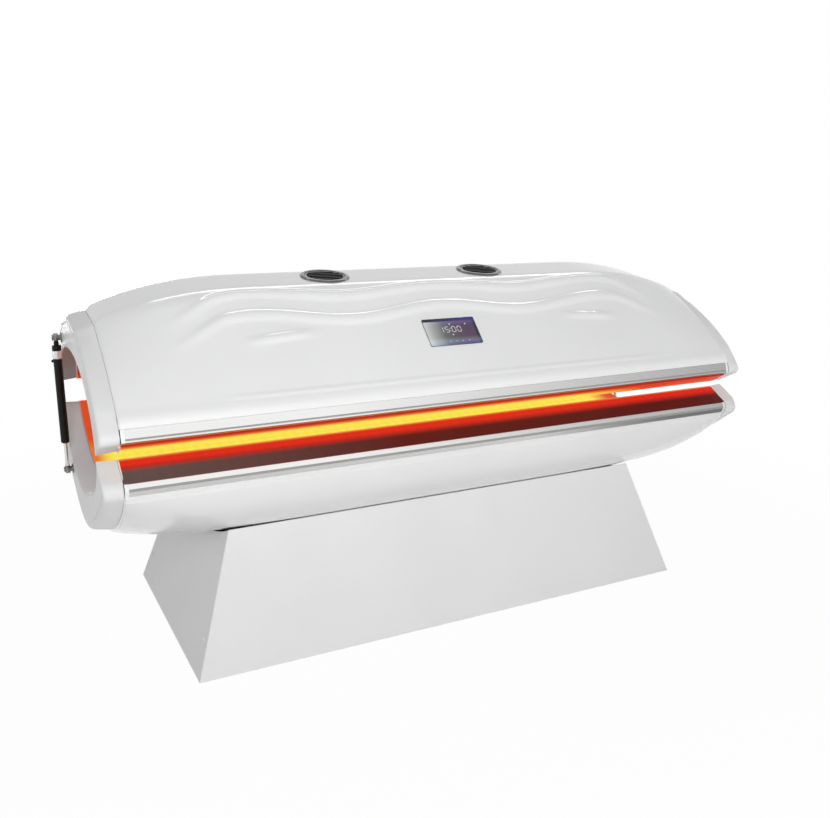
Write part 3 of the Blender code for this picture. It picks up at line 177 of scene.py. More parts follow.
# %% [markdown]
# ## Studio lamps
# Glossy white plastic shows its shape by highlights more than by shade. A soft box beside the camera lights
# the front, and three weaker ones stand low behind the bed and off its ends, so that the white reads as
# white from any side. A panel overhead is there only for its reflection: the plain slope mirrors what lies
# in front of the panel, and the flatter flank of each ridge mirrors the panel itself, as a bright line.
# A photographer keeps such a panel off the matt surfaces with black flags; here it is switched off for
# diffuse light. The front box is switched off for reflections, which would burn patches into the slope.


# %% Studio lamps
def softbox(name, at, aim, size, watts):
    """A flat lamp that the camera doesn't see."""
    lamp = bpy.data.lights.new(name, "AREA")
    lamp.shape = "RECTANGLE"
    lamp.size, lamp.size_y = size
    lamp.energy = watts
    holder = bpy.data.objects.new(name, lamp)
    holder.location = at
    holder.rotation_euler = (Vector(aim) - Vector(at)).to_track_quat("-Z", "Y").to_euler()
    holder.visible_camera = False
    scene.collection.objects.link(holder)
    return holder


front_box = softbox("box_by_camera", (-0.9, -3.6, 1.9), (0.0, 0.0, 0.6), (2.6, 1.5), 98)
softbox("box_behind", (0.2, 3.6, 0.48), (0.0, 0.0, 0.48), (3.0, 0.8), 75)
softbox("box_right_end", (3.7, 0.3, 0.9), (0.9, 0.0, 0.6), (1.2, 1.0), 30)
softbox("box_left_end", (-3.7, 0.5, 0.9), (-0.9, 0.0, 0.6), (1.2, 1.0), 8)
panel = softbox("panel_overhead", (1.0, 1.45, 3.0), (1.0, 1.45, 0.0), (3.6, 0.48), 20)
panel.visible_diffuse = False
front_box.visible_glossy = False

# %% [markdown]
# ## How a finish is built
# A finish here is one Principled shader. Numbers that hold all over go on the shader's own sockets, and
# noise in the object's own coordinates varies the colour, the roughness and a very small relief.
# Image textures would need unwrapping and files; noise needs neither and never repeats.


# %% Finish helpers
def finish(name, sockets):
    """A Principled finish with its plain numbers set."""
    material = bpy.data.materials.new(name)
    material.use_nodes = True
    shader = material.node_tree.nodes["Principled BSDF"]
    for socket, value in sockets.items():
        shader.inputs[socket].default_value = value
    return material, material.node_tree, shader


def grain(tree, scale, stretch=(1, 1, 1), detail=3.0):
    """Noise in object coordinates; stretch below 1 draws it out along that axis."""
    place = add_node(tree, "ShaderNodeTexCoord")
    mapping = add_node(tree, "ShaderNodeMapping", {"Scale": stretch})
    noise = add_node(tree, "ShaderNodeTexNoise", {"Scale": scale, "Detail": detail})
    tree.links.new(place.outputs["Object"], mapping.inputs["Vector"])
    tree.links.new(mapping.outputs["Vector"], noise.inputs["Vector"])
    return noise.outputs["Fac"]


def shades(tree, factor, stops):
    """A colour ramp with (position, colour) stops."""
    ramp = add_node(tree, "ShaderNodeValToRGB")
    while len(ramp.color_ramp.elements) < len(stops):
        ramp.color_ramp.elements.new(1.0)
    for element, (position, colour) in zip(ramp.color_ramp.elements, stops):
        element.position = position
        element.color = (*colour, 1.0)
    tree.links.new(factor, ramp.inputs["Fac"])
    return ramp.outputs["Color"]


NOISE_LOW, NOISE_HIGH = 0.3, 0.7


def between(tree, factor, low, high):
    """Noise, which mostly lies between its low and high mark, spread over a range of values."""
    return remap(tree, factor, NOISE_LOW, NOISE_HIGH, low, high)


def relief(tree, shader, height, depth, strength):
    """Bumps in metres, too fine to be modelled."""
    bump = add_node(tree, "ShaderNodeBump", {"Strength": strength, "Distance": depth})
    tree.links.new(height, bump.inputs["Height"])
    tree.links.new(bump.outputs["Normal"], shader.inputs["Normal"])


print("noise helpers ready")


# %% A finish that drifts between two colours
def grey(tone):
    """A colour without any hue."""
    return (tone, tone, tone)


def speckled(name, sockets, tones, roughness=None, texture=None, stretch=(1, 1, 1), detail=3.0,
             marks=(NOISE_LOW, NOISE_HIGH)):
    """A finish that drifts between two colours and, where given, between two roughnesses and with a fine
    relief.
    """
    material, tree, shader = finish(name, sockets)
    scale, *colours = tones
    drift = shades(tree, grain(tree, scale, stretch, detail), list(zip(marks, colours)))
    tree.links.new(drift, shader.inputs["Base Color"])
    if roughness:
        scale, low, high = roughness
        tree.links.new(between(tree, grain(tree, scale), low, high), shader.inputs["Roughness"])
    if texture:
        scale, depth, strength = texture
        relief(tree, shader, grain(tree, scale, detail=1.0), depth, strength)
    return material


print("finish helpers ready")

# %% [markdown]
# ## White shells
# Both halves are moulded white plastic with a glossy skin. Real mouldings are never one even white: the
# skin has a faint orange-peel, and its tone drifts a little. Both are noise here, at 3 mm and at 0.4 m.
# The collars at the ends are the same plastic with a satin grain, so they take less light on their edges.


# %% White shell finish
def moulded(name, low, high, gloss=0.65, haze=0.04, matt=0.16):
    """White plastic between two tones, under a coat of its own gloss and haze."""
    return speckled(
        name, {"IOR": 1.48, "Coat Weight": gloss, "Coat Roughness": haze},
        (2.4, (low, low, low - 0.004), (high, high, high - 0.003)),
        (60.0, matt, matt + 0.06), (320.0, 0.00003, 0.3))


SATIN = {"gloss": 0.3, "haze": 0.30, "matt": 0.45}
# The canopy's shell has the plastic's own tone. The hull and the two collars are the same plastic set darker,
# the bed's collar darkest: painted shade.
shell_white = moulded("moulded_white_shell", 0.790, 0.825)
hull_white_painted_shade = moulded("moulded_hull_shell_painted_shade", 0.715, 0.745)
canopy_collar_painted_shade = moulded("satin_canopy_collar_painted_shade", 0.730, 0.765, **SATIN)
bed_collar_painted_shade = moulded("satin_bed_collar_painted_shade", 0.690, 0.720, **SATIN)
print("finishes", shell_white.name, hull_white_painted_shade.name, canopy_collar_painted_shade.name, bed_collar_painted_shade.name)

# %% [markdown]
# ## Lines of the canopy
# The canopy is a loft: one section line, carried along the bed while its roof falls towards the ends.
# The line is drawn with straight stretches first, then resampled and softened, which rounds each corner
# by the same small radius. That is quicker to steer than placing every curve handle by hand.

# %% Sizes taken from the engineered model
canopy_low, canopy_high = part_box("canopy_shell")
hull_low, hull_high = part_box("hull_shell")
END_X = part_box("bed_end_rim_right")[1].x
SHELL_X = canopy_high.x
LIP_Y = canopy_high.y
TOP_Z = canopy_high.z
CANOPY_LIP_Z = canopy_low.z
HULL_LIP_Z = hull_high.z
KEEL_Z = hull_low.z
NOSE_Y = -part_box("canopy_front_trim")[0].y
RIM_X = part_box("bed_end_rim_right")[0].x
print("shell half length", round(SHELL_X, 4), "lip at", round(LIP_Y, 4), "heights",
      [round(v, 4) for v in (KEEL_Z, HULL_LIP_Z, CANOPY_LIP_Z, TOP_Z)])


# %% Line helpers
def resample(points, count):
    """Even steps along a line; further columns are carried along."""
    points = np.asarray(points, float)
    run = np.r_[0, np.cumsum(np.linalg.norm(np.diff(points[:, :2], axis=0), axis=1))]
    at = np.linspace(0, run[-1], count)
    return np.column_stack([np.interp(at, run, column) for column in points.T])


def soften(line, passes):
    """Round the corners of an even line; its ends stay."""
    line = line.copy()
    for _ in range(passes):
        line[1:-1, :2] = (line[:-2, :2] + 2 * line[1:-1, :2] + line[2:, :2]) / 4
    return line


def sideways(line, distance):
    """Move a line to the left of its direction by a distance, or by one for each point."""
    run = np.gradient(line[:, :2], axis=0)
    run /= np.linalg.norm(run, axis=1)[:, None]
    return line[:, :2] + np.column_stack([-run[:, 1], run[:, 0]]) * np.reshape(distance, (-1, 1))


def at_back(line):
    """The same line at the back, in turned order."""
    return line[::-1, :2] * (-1, 1)


def bezier(start, lead, tail, end, count):
    """A curve between two points, steered by the two in the middle."""
    t = np.linspace(0, 1, count + 1)[:, None]
    start, lead, tail, end = np.array((start, lead, tail, end), float)
    return (1 - t) ** 3 * start + 3 * t * (1 - t) ** 2 * lead + 3 * t * t * (1 - t) * tail + t ** 3 * end


print("line helpers ready")

# %% [markdown]
# ## Canopy section and its ribs
# Two pressed ribs wave along the slope, a short one lies under them near each end, and a thin bead follows
# the crease over the trim. Each is a height added square to the slope, worked out from the place along the
# bed and the place up the slope, 0 at the crease and 1 at the shoulder. Sculpting would give the same look,
# but a formula keeps the ribs even and can be changed by one number.

# %% Sizes of the section and its ribs
END_DROP, DROP_START, DROP_POWER = 0.085, 0.501, 2.4
END_CROWN = 0.012
END_TUCK, TUCK_RUN = 0.012, 0.030
WAVE_PITCH, WAVE_FULL, WAVE_END = 0.53, 0.62, 0.77
WAVES = ((0.98, 0.04, 0.0058), (0.735, 0.05, 0.0058))  # place up the slope, swing, height
WAVE_BELOW, WAVE_ABOVE, WAVE_CREST = 0.085, 0.070, 0.012
DIVE_X, DIVE = 0.61, 1.25
SHORT_X, SHORT_REACH, SHORT_FADE, SHORT_HEIGHT = 0.475, 0.11, 0.08, 0.0055
SHORT_PLACE, SHORT_LEVEL_X, SHORT_FALL = 0.555, 0.43, 0.30
SHORT_HALF, SHORT_FLANK = 0.06, 0.05
BEAD_HEIGHT, BEAD_PLACE, BEAD_HALF, BEAD_FLANK = 0.0018, 0.006, 0.032, 0.028
BEAD_END, BEAD_FADE = 0.74, 0.20
CREASE_IN, CREASE_UP = 0.027, 0.037
SHOULDER_IN, SHOULDER_DOWN = 0.240, 0.037
DECK_EDGE = (-LIP_Y + 0.270, TOP_Z - 0.021)
DECK_TOP = (-0.012, TOP_Z - 0.001)
print("waves", [round(tall * 1000, 1) for _, _, tall in WAVES], "mm tall, bead", BEAD_HEIGHT * 1000, "mm")


# %% Shape of the ribs
def section_x(x):
    """Where a section is taken: the shells tuck in over their last stretch."""
    share = np.clip((abs(x) - RIM_X + TUCK_RUN) / TUCK_RUN, 0.0, 1.0)
    return abs(x) + END_TUCK * share * share


def roof_drop(x):
    """How far the roof has fallen towards the ends."""
    reach = max(0.0, section_x(x) - DROP_START) / (END_X - DROP_START)
    return END_DROP * reach ** DROP_POWER


def ease_in(t):
    """0 to 1 with a soft start and a soft end."""
    t = np.clip(t, 0.0, 1.0)
    return t * t * (3 - 2 * t)


def wave_ribs(x, place):
    """Height of the ribs over the slope; place is 0 at the crease and 1 at the shoulder."""
    strength = ease_in((WAVE_END - abs(x)) / (WAVE_END - WAVE_FULL))
    dive = DIVE * max(0.0, abs(x) - DIVE_X)
    sway = math.cos(2 * math.pi * x / WAVE_PITCH)
    height = np.zeros_like(place)
    for middle, swing, tall in WAVES:
        away = place - (middle + swing * sway - dive)
        side = np.where(away < 0, WAVE_BELOW, WAVE_ABOVE)
        height += tall * strength * ease_in((side - abs(away)) / (side - WAVE_CREST))
    short = ease_in((SHORT_REACH - abs(abs(x) - SHORT_X)) / SHORT_FADE)
    arc = SHORT_PLACE - SHORT_FALL * (abs(x) - SHORT_LEVEL_X)
    height += SHORT_HEIGHT * short * ease_in((SHORT_HALF - abs(place - arc)) / SHORT_FLANK)
    length = ease_in((BEAD_END - abs(x)) / BEAD_FADE)
    return height + BEAD_HEIGHT * length * ease_in((BEAD_HALF - abs(place - BEAD_PLACE)) / BEAD_FLANK)


print("rib height at mid length", round(float(wave_ribs(0.0, np.array([0.82]))[0]) * 1000, 1), "mm")


# %% Canopy section
def canopy_half(x, ribs, count=120):
    """Front half of the canopy line, from the lip to the middle of the roof."""
    drop = roof_drop(x)
    coarse = [
        (-LIP_Y, CANOPY_LIP_Z, -1), (-LIP_Y, CANOPY_LIP_Z + 0.008, -1),
        (-LIP_Y + 0.006, CANOPY_LIP_Z + 0.020, -1), (-LIP_Y + CREASE_IN, CANOPY_LIP_Z + CREASE_UP, 0),
        (-LIP_Y + SHOULDER_IN, TOP_Z - SHOULDER_DOWN - drop, 1), (DECK_EDGE[0], DECK_EDGE[1] - drop, 1.14),
        (DECK_TOP[0], DECK_TOP[1] - drop, 2), (0.0, TOP_Z - drop, 2),
    ]
    line = soften(resample(coarse, count), 9)
    place = line[:, 2]
    crown = END_CROWN * drop / END_DROP * np.clip(4 * place * (1 - place), 0, None)
    lift = crown + (wave_ribs(x, place) if ribs else 0)
    half = sideways(line, lift)
    half[0], half[-1] = line[0, :2], line[-1, :2]
    return half


print("section points", len(canopy_half(0.0, True)))

# %% [markdown]
# ## Canopy shell
# With sections ready, the skin is a grid of points joined by quads. A subdivision surface over a coarse
# cage would also be smooth, but it pulls away from the engineered lines; a dense grid stays on them.
# The lip folds inward, so that the edge shows a wall, and both ends roll in to meet the collars.
# The round holes for the air outlets are cut afterwards with a Boolean tool, which is simpler than
# laying the grid round them; the screen lies on the slope and needs no hole.


# %% Piece helpers
def settle(piece, finish_made, body, stands_for=()):
    """Give a piece its finish and its body, and hide the engineered pieces it stands for."""
    piece.data.materials.clear()
    piece.data.materials.append(finish_made)
    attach(piece, body)
    if stands_for:
        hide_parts(*stands_for)
    return piece


def shade(piece, degrees=35):
    """Smooth shading that keeps edges above an angle sharp."""
    piece.data.shade_smooth()
    piece.data.set_sharp_from_angle(angle=math.radians(degrees))
    return piece


def from_shape(name, shape):
    """A piece of a finished shape, its faces turned outward."""
    bmesh.ops.recalc_face_normals(shape, faces=shape.faces)
    mesh = bpy.data.meshes.new(name)
    shape.to_mesh(mesh)
    shape.free()
    piece = bpy.data.objects.new(name, mesh)
    scene.collection.objects.link(piece)
    return piece


def skin(name, rows, round_rows=False, caps=False):
    """Quads between rows of points; round_rows closes each row, caps closes the two ends."""
    shape = bmesh.new()
    verts = [[shape.verts.new(point) for point in row] for row in rows]
    for near, far in zip(verts, verts[1:]):
        count = len(near)
        for i in range(count if round_rows else count - 1):
            j = (i + 1) % count
            shape.faces.new((near[i], near[j], far[j], far[i]))
    if caps:
        shape.faces.new(verts[0])
        shape.faces.new(verts[-1])
    return from_shape(name, shape)


def cut(piece, tool):
    """Take a tool away from a piece and throw the tool away."""
    step = piece.modifiers.new("cut", "BOOLEAN")
    step.object = tool
    step.solver = "EXACT"
    bpy.context.view_layer.objects.active = piece
    bpy.ops.object.modifier_apply(modifier=step.name)
    bpy.data.objects.remove(tool, do_unlink=True)


print("piece helpers ready")


# %% Canopy shell
def rolled_ends(rows, margin, depth):
    """Roll the skin in at both ends, down to the rims beside it, so that no gap shows."""
    rolls = []
    for row in (rows[0], rows[-1]):
        outward = math.copysign(1.0, row[0][0])
        rows_here = []
        for turn in np.linspace(0.2, math.pi / 2, 6):
            line = np.array(row)
            line[:, 0] -= outward * abs(depth) * (1 - math.sin(turn))
            line[margin:-margin, 1:] = sideways(line[margin:-margin, 1:], depth * (1 - math.cos(turn)))
            rows_here.append([tuple(point) for point in line])
        rolls.append(rows_here)
    return [*rolls[0][::-1], *rows[1:-1], *rolls[1]]


LIP_FOLD, FOLD_HEIGHT = 0.0048, 0.012
END_ROLL = 0.0055
close = np.r_[np.linspace(SHELL_X - TUCK_RUN, SHELL_X - 0.004, 9), SHELL_X]
stations = np.unique(np.r_[np.linspace(-SHELL_X, SHELL_X, 141), close, -close].round(5))
rows = []
for x in stations:
    front = canopy_half(x, True)
    back = at_back(canopy_half(x, False))
    fold = np.array([(-LIP_Y + LIP_FOLD, CANOPY_LIP_Z + FOLD_HEIGHT), (-LIP_Y + LIP_FOLD, CANOPY_LIP_Z)])
    line = np.vstack([fold, front, back[1:], at_back(fold)])
    rows.append([(x, y, z) for y, z in line])
rows = rolled_ends(rows, len(fold), -END_ROLL)
canopy = skin("canopy_shell_skin", rows)
print("canopy skin", len(canopy.data.polygons), "faces")


# %% Holes for the outlets, and the screen's place
def disc_tool(frame_at, radius, depth):
    """A round block to cut with."""
    shape = bmesh.new()
    bmesh.ops.create_cone(shape, cap_ends=True, segments=96, radius1=radius, radius2=radius, depth=depth,
                          matrix=frame_at)
    return from_shape("hole_tool", shape)


OUTLET_HOLE, HOLE_DEPTH = 0.060, 0.06
SLOPE_RISE, SLOPE_RUN = 0.218, 0.213
SCREEN_SUNK = 0.0018
deck_tilt = math.atan2(DECK_TOP[1] - DECK_EDGE[1], DECK_TOP[0] - DECK_EDGE[0])
outlet_frames = {}
for hand in ("left", "right"):
    low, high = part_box("vent_louvre_" + hand)
    middle = (low + high) / 2
    rise = (middle.y - DECK_EDGE[0]) * math.tan(deck_tilt)
    outlet_frames[hand] = (
        Matrix.Translation((middle.x, middle.y, DECK_EDGE[1] + rise)) @ Matrix.Rotation(deck_tilt, 4, "X"))
    cut(canopy, disc_tool(outlet_frames[hand], OUTLET_HOLE, HOLE_DEPTH))
low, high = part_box("touch_screen")
screen_tilt = math.atan2(SLOPE_RISE, SLOPE_RUN)
outward = Vector((0, -math.sin(screen_tilt), math.cos(screen_tilt)))
screen_place = (low + high) / 2 - outward * SCREEN_SUNK
screen_frame = Matrix.Translation(screen_place) @ Matrix.Rotation(screen_tilt, 4, "X")
settle(shade(canopy, 40), shell_white, "canopy", ["canopy_shell"])
print("outlet centres", [[round(v, 3) for v in m.translation] for m in outlet_frames.values()])

# %% [markdown]
# ## Hull shell
# The hull is the same kind of loft, turned upside down. Under the trim runs a plain band, level with the
# end rims; below it the body steps out by 3 mm with a soft edge, which catches a thin line of light.

# %% Hull shell
STEP, STEP_FALL = 0.003, 0.006
BAND = 0.012
END_LIFT, HULL_POWER = 0.030, 7


def hull_curve(x, count=80):
    """Side of the hull from under its lip down to the keel."""
    taper = (section_x(x) / END_X) ** HULL_POWER
    keel = (0.0, KEEL_Z + END_LIFT * taper)
    lead = (-LIP_Y + 0.020 + 0.045 * taper, HULL_LIP_Z - 0.155 + 0.100 * taper)
    return bezier((-LIP_Y, HULL_LIP_Z - 0.008), lead, (-0.20 + 0.04 * taper, keel[1]), keel, count)


def hull_half(x):
    """Half of the hull line with the step under its band."""
    line = resample(np.vstack([[(-LIP_Y, HULL_LIP_Z)], hull_curve(x)]), 150)
    below = HULL_LIP_Z - BAND - line[:, 1]
    line[:, 0] += STEP * (1 - ease_in(below / STEP_FALL))
    return line


rows = []
for x in np.unique(np.r_[np.linspace(-SHELL_X, SHELL_X, 61), close, -close].round(5)):
    half = hull_half(x)
    inside = half[0, 0] + LIP_FOLD
    fold = np.array([(inside, HULL_LIP_Z - FOLD_HEIGHT), (inside, HULL_LIP_Z)])
    line = np.vstack([fold, half, at_back(half)[1:], at_back(fold)])
    rows.append([(x, y, z) for y, z in line])
rows = rolled_ends(rows, len(fold), END_ROLL)
hull = settle(shade(skin("hull_shell_skin", rows), 40), hull_white_painted_shade, "bed", ["hull_shell"])
print("hull skin", len(hull.data.polygons), "faces")

# %% [markdown]
# ## Acrylic sheets
# Two bent acrylic sheets line the tunnel: the person lies on one and under the other. Lamps behind them
# make them glow: a row of them shows as a yellow band, and the sheet is dark where it reaches the trims.
# The glow is emission from colour ramps across the sheet, and other ramps take over along the bed, so it
# needs no lamp of its own. Real lamps behind clear sheets would look much the same and render for hours.

# %% Lines of the sheets
CANOPY_TRIM_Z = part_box("canopy_front_trim")[0].z
CANOPY_BACK_TRIM_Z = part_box("canopy_back_trim")[0].z
BED_TRIM_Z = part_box("bed_front_trim")[1].z
CREST_Y = LIP_Y - 0.060
SHEET_WALL = 0.004
CREST_DROP, BACK_CREST_DROP, CREST_RISE = 0.0685, 0.019, 0.0695
EDGE_RUN = 0.86
ROLL_IN, ROLL_UP = 0.012, 0.016
ROOF_Z, TROUGH_Z = TOP_Z - 0.148, HULL_LIP_Z - 0.062


def toward_crest(edge, crest):
    """The end of the flat stretch between the trim and the rolled crest."""
    return edge[0] + (crest[0] - edge[0]) * EDGE_RUN, edge[1] + (crest[1] - edge[1]) * EDGE_RUN


def roof_sheet_half(trim_z, crest_drop):
    """Half of the roof sheet: a flat edge, a rolled crest and the arch."""
    edge, crest = (-LIP_Y + 0.007, trim_z - 0.0026), (-CREST_Y, CANOPY_LIP_Z - crest_drop)
    foot = (crest[0] + ROLL_IN, crest[1] + ROLL_UP)
    roll = bezier(toward_crest(edge, crest), crest, (foot[0] - 0.0012, crest[1] + 0.45 * ROLL_UP), foot, 8)
    arch = bezier(foot, (foot[0] + 0.010, foot[1] + 0.085), (-0.19, ROOF_Z), (0.0, ROOF_Z), 30)
    return np.vstack([[edge], roll, arch[1:]])


def bed_sheet_half():
    """Half of the bed sheet: a flat edge, a rolled crest and the trough."""
    edge = (-LIP_Y + 0.0007, BED_TRIM_Z + 0.0019)
    crest = (-CREST_Y, HULL_LIP_Z + CREST_RISE)
    foot = (crest[0] + 0.020, crest[1] - 0.011)
    lead, tail = (crest[0] + 0.004, crest[1] + 0.0022), (foot[0] - 0.008, foot[1] + 0.0077)
    roll = bezier(toward_crest(edge, crest), lead, tail, foot, 8)
    trough = bezier(foot, (foot[0] + 0.075, foot[1] - 0.075), (-0.14, TROUGH_Z), (0.0, TROUGH_Z), 30)
    return np.vstack([[edge], roll, trough[1:]])


roof_front = roof_sheet_half(CANOPY_TRIM_Z, CREST_DROP)
roof_back = roof_sheet_half(CANOPY_BACK_TRIM_Z, BACK_CREST_DROP)
bed_half = bed_sheet_half()
roof_line = np.vstack([roof_front, at_back(roof_back)[1:]])
bed_line = np.vstack([bed_half, at_back(bed_half)[1:]])
print("tunnel height at the middle", round(ROOF_Z - TROUGH_Z, 3), "m")


# %% Lit acrylic finish
def axis_share(tree, axis, start, end):
    """0 to 1 between two places on one of the object's axes."""
    place = add_node(tree, "ShaderNodeTexCoord")
    parts = add_node(tree, "ShaderNodeSeparateXYZ")
    tree.links.new(place.outputs["Object"], parts.inputs[0])
    return remap(tree, parts.outputs[axis], start, end)


def blend(tree, factor, first, second, kind="MIX"):
    """Two colours in one; the factor is a number or comes from another node."""
    mixed = add_node(tree, "ShaderNodeMixRGB", blend_type=kind)
    if isinstance(factor, float):
        mixed.inputs["Fac"].default_value = factor
    else:
        tree.links.new(factor, mixed.inputs["Fac"])
    tree.links.new(first, mixed.inputs["Color1"])
    tree.links.new(second, mixed.inputs["Color2"])
    return mixed.outputs["Color"]


SHEET_HALF = 0.42


def lit_acrylic(name, looks):
    """Glow by the place across the sheet; each further look takes over between two places along it."""
    material = speckled(
        name, {"Roughness": 0.38, "IOR": 1.49, "Specular IOR Level": 0.03, "Emission Strength": 1.0},
        (9.0, (0.045, 0.006, 0.005), (0.060, 0.008, 0.006)), texture=(180.0, 0.00002, 0.3))
    tree = material.node_tree
    across = axis_share(tree, "Y", -SHEET_HALF, SHEET_HALF)
    colour = None
    for start, end, stops in looks:
        stops = [((y + SHEET_HALF) / (2 * SHEET_HALF), tone) for y, tone in stops]
        look_here = shades(tree, across, stops)
        if colour is not None:
            look_here = blend(tree, axis_share(tree, "X", start, end), colour, look_here)
        colour = look_here
    place = add_node(tree, "ShaderNodeTexCoord")
    spots = add_node(tree, "ShaderNodeTexVoronoi", {"Scale": 30.0, "Randomness": 0.0})
    tree.links.new(place.outputs["Object"], spots.inputs["Vector"])
    lamps = shades(tree, spots.outputs["Distance"], [(0.15, grey(1.0)), (0.75, (0.90, 0.88, 0.86))])
    shader = tree.nodes["Principled BSDF"]
    tree.links.new(blend(tree, 1.0, colour, lamps, "MULTIPLY"), shader.inputs["Emission Color"])
    return material


print("acrylic helpers ready")


# %% Colours across the two sheets
TAUPE, MAROON = (0.072, 0.073, 0.068), (0.062, 0.008, 0.007)
RED, DEEP_RED = (0.72, 0.020, 0.009), (0.42, 0.016, 0.009)
ORANGE, YELLOW, EMBER = (0.80, 0.19, 0.030), (0.96, 0.80, 0.090), (0.72, 0.080, 0.018)
DIM = (0.24, 0.030, 0.007)


def bed_look(edge, lamp_row):
    """Colours from the front edge of the bed sheet to its back edge."""
    return [
        (-0.405, edge), (-0.379, edge), (-0.369, DEEP_RED), (-0.361, RED), (-0.351, RED), (-0.345, ORANGE),
        (-0.335, EMBER), (-0.300, DIM), (0.050, DIM), (0.085, ORANGE), (0.100, lamp_row), (0.145, lamp_row),
        (0.175, ORANGE), (0.210, EMBER), (0.330, EMBER), (0.355, RED), (0.369, DEEP_RED), (0.379, edge),
    ]


def roof_look(lamp_row, middle):
    """Colours from the front edge of the roof sheet to its back edge."""
    return [
        (-0.402, (0.10, 0.008, 0.006)), (-0.396, (0.55, 0.034, 0.014)), (-0.388, (0.72, 0.09, 0.02)),
        (-0.383, middle), (-0.368, lamp_row), (-0.345, lamp_row), (-0.325, DIM), (0.325, DIM), (0.345, EMBER),
        (0.390, RED),
    ]


bed_glow = lit_acrylic("lit_bed_acrylic", [
    (0, 0, bed_look(TAUPE, ORANGE)), (-0.888, -0.850, bed_look(TAUPE, YELLOW)),
    (-0.86, -0.20, bed_look(MAROON, YELLOW)), (0.79, 0.86, bed_look(MAROON, EMBER)),
])
roof_glow = lit_acrylic("lit_roof_acrylic", [
    (0, 0, roof_look(YELLOW, ORANGE)), (0.38, 0.60, roof_look(EMBER, RED)),
])
print("finishes", bed_glow.name, roof_glow.name)


# %% Acrylic sheets
def along_bed(name, outline, reach, steps=1):
    """A closed outline in y and z, carried from end to end."""
    xs = np.linspace(-reach, reach, steps + 1)
    return skin(name, [[(x, y, z) for y, z in outline] for x in xs], round_rows=True, caps=True)


def sheet_outline(line, wall):
    """The line with a wall's thickness."""
    return np.vstack([sideways(line, wall / 2), sideways(line, -wall / 2)[::-1]])


sheet_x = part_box("bed_acrylic")[1].x
bed_sheet = along_bed("bed_acrylic_sheet", sheet_outline(bed_line, SHEET_WALL), sheet_x)
roof_sheet = along_bed("canopy_acrylic_sheet", sheet_outline(roof_line, SHEET_WALL), sheet_x)
settle(shade(bed_sheet), bed_glow, "bed", ["bed_acrylic"])
settle(shade(roof_sheet), roof_glow, "canopy", ["canopy_acrylic"])
print("sheets", len(bed_sheet.data.polygons), len(roof_sheet.data.polygons), "faces")

# %% [markdown]
# ## End rims
# A moulded collar closes each end of each half: a satin outer skin with a rolled lip, a flat face with a
# fine groove round the tunnel's mouth, and an inner wall that runs in to the acrylic. In the canopy that wall
# is a cool grey: painted shade of a wall that faces down, cooled so that the red glow spilling on it reads
# less red. Its cut changes all the way round, so it is lofted from three guide lines, outer, mouth and
# throat, with the same number of points on each. A profile swept along one path couldn't change like that.

# %% Lips of the collars
RIM_STEP, RIM_ROUND, MOUTH_ROUND = 0.003, 0.008, 0.004
FACE_GROOVE = ((0.0180, 0.0), (0.0190, 0.0016), (0.0215, 0.0016), (0.0225, 0.0))
COLLAR_LINES = (0.003, 0.028)
RIM_WIDTH = 0.090
MOUTH_Y = LIP_Y - 0.068
GUIDE, LIP_STEPS = 76, 16
RIM_START = 0.030


def lip_points(offsets, trim_z):
    """The rolled lip, given from the shell's lip inward and from the trim up."""
    return np.array([(-LIP_Y + inward, trim_z + up) for inward, up in offsets])


CANOPY_RIM_LIP = ((0.010, -0.0035), (-0.004, 0.0), (-0.0125, 0.010), (-0.0125, 0.022))
HULL_RIM_LIP = ((0.003, 0.005), (-0.0045, 0.0), (-0.0110, -0.011), (-0.0130, -0.021), (-0.0095, -0.033))


def collar_x(x):
    """The shells' station that a rim follows: the rims are straighter than the shells."""
    start, end = COLLAR_LINES
    return RIM_X + start + (end - start) * (x - RIM_X) / (END_X - RIM_X)


def round_lip(line, passes=3):
    """An even line whose first stretch, the lip, is rolled softer than the rest."""
    line = resample(line, GUIDE)
    share = ease_in((LIP_STEPS - np.arange(GUIDE)) / (LIP_STEPS / 2))[:, None]
    return line + share * (soften(line, passes) - line)


print("lip points", len(CANOPY_RIM_LIP), "and", len(HULL_RIM_LIP))


# %% Outer lines of the collars
def canopy_rim_outer(x):
    """The canopy collar's outer line, from the front lip over the roof to the back one."""
    line = canopy_half(collar_x(x), False)
    line = line[line[:, 1] > CANOPY_LIP_Z + CREASE_UP]
    front = np.vstack([lip_points(CANOPY_RIM_LIP, CANOPY_TRIM_Z), line])
    back = np.vstack([lip_points(CANOPY_RIM_LIP, CANOPY_BACK_TRIM_Z), line])
    return np.vstack([round_lip(front), at_back(round_lip(back))[1:]])


def hull_rim_outer(x):
    """The bed collar's outer line, from the front lip under the keel to the back one."""
    curve = hull_curve(collar_x(x))
    half = np.vstack([lip_points(HULL_RIM_LIP, BED_TRIM_Z), curve[curve[:, 1] < HULL_LIP_Z - RIM_START]])
    half = round_lip(half, 2)
    return np.vstack([half, at_back(half)[1:]])


print("collars reach", round(float(abs(hull_rim_outer(END_X)[:, 0]).max()), 4), "m to each side")


# %% Mouth and throat lines
def guide(half_front, half_back):
    """A guide line of even steps from its two halves."""
    return np.vstack([resample(half_front, GUIDE), at_back(resample(half_back, GUIDE))[1:]])


def canopy_mouth_half(crest_drop, lead_up):
    """Half of the canopy's mouth, from beside the sheet's crest to the middle of the roof."""
    roof = TOP_Z - END_DROP - RIM_WIDTH
    start = (-MOUTH_Y, CANOPY_LIP_Z - crest_drop - 0.002)
    return bezier(start, (-MOUTH_Y, start[1] + lead_up), (-0.20, roof), (0.0, roof), 40)


def bed_mouth_half():
    """Half of the bed's mouth, from beside the sheet's crest to over the keel."""
    base = KEEL_Z + END_LIFT + RIM_WIDTH
    start = (-MOUTH_Y, HULL_LIP_Z + CREST_RISE + 0.002)
    return bezier(start, (-MOUTH_Y, start[1] - 0.08), (-0.16, base), (0.0, base), 40)


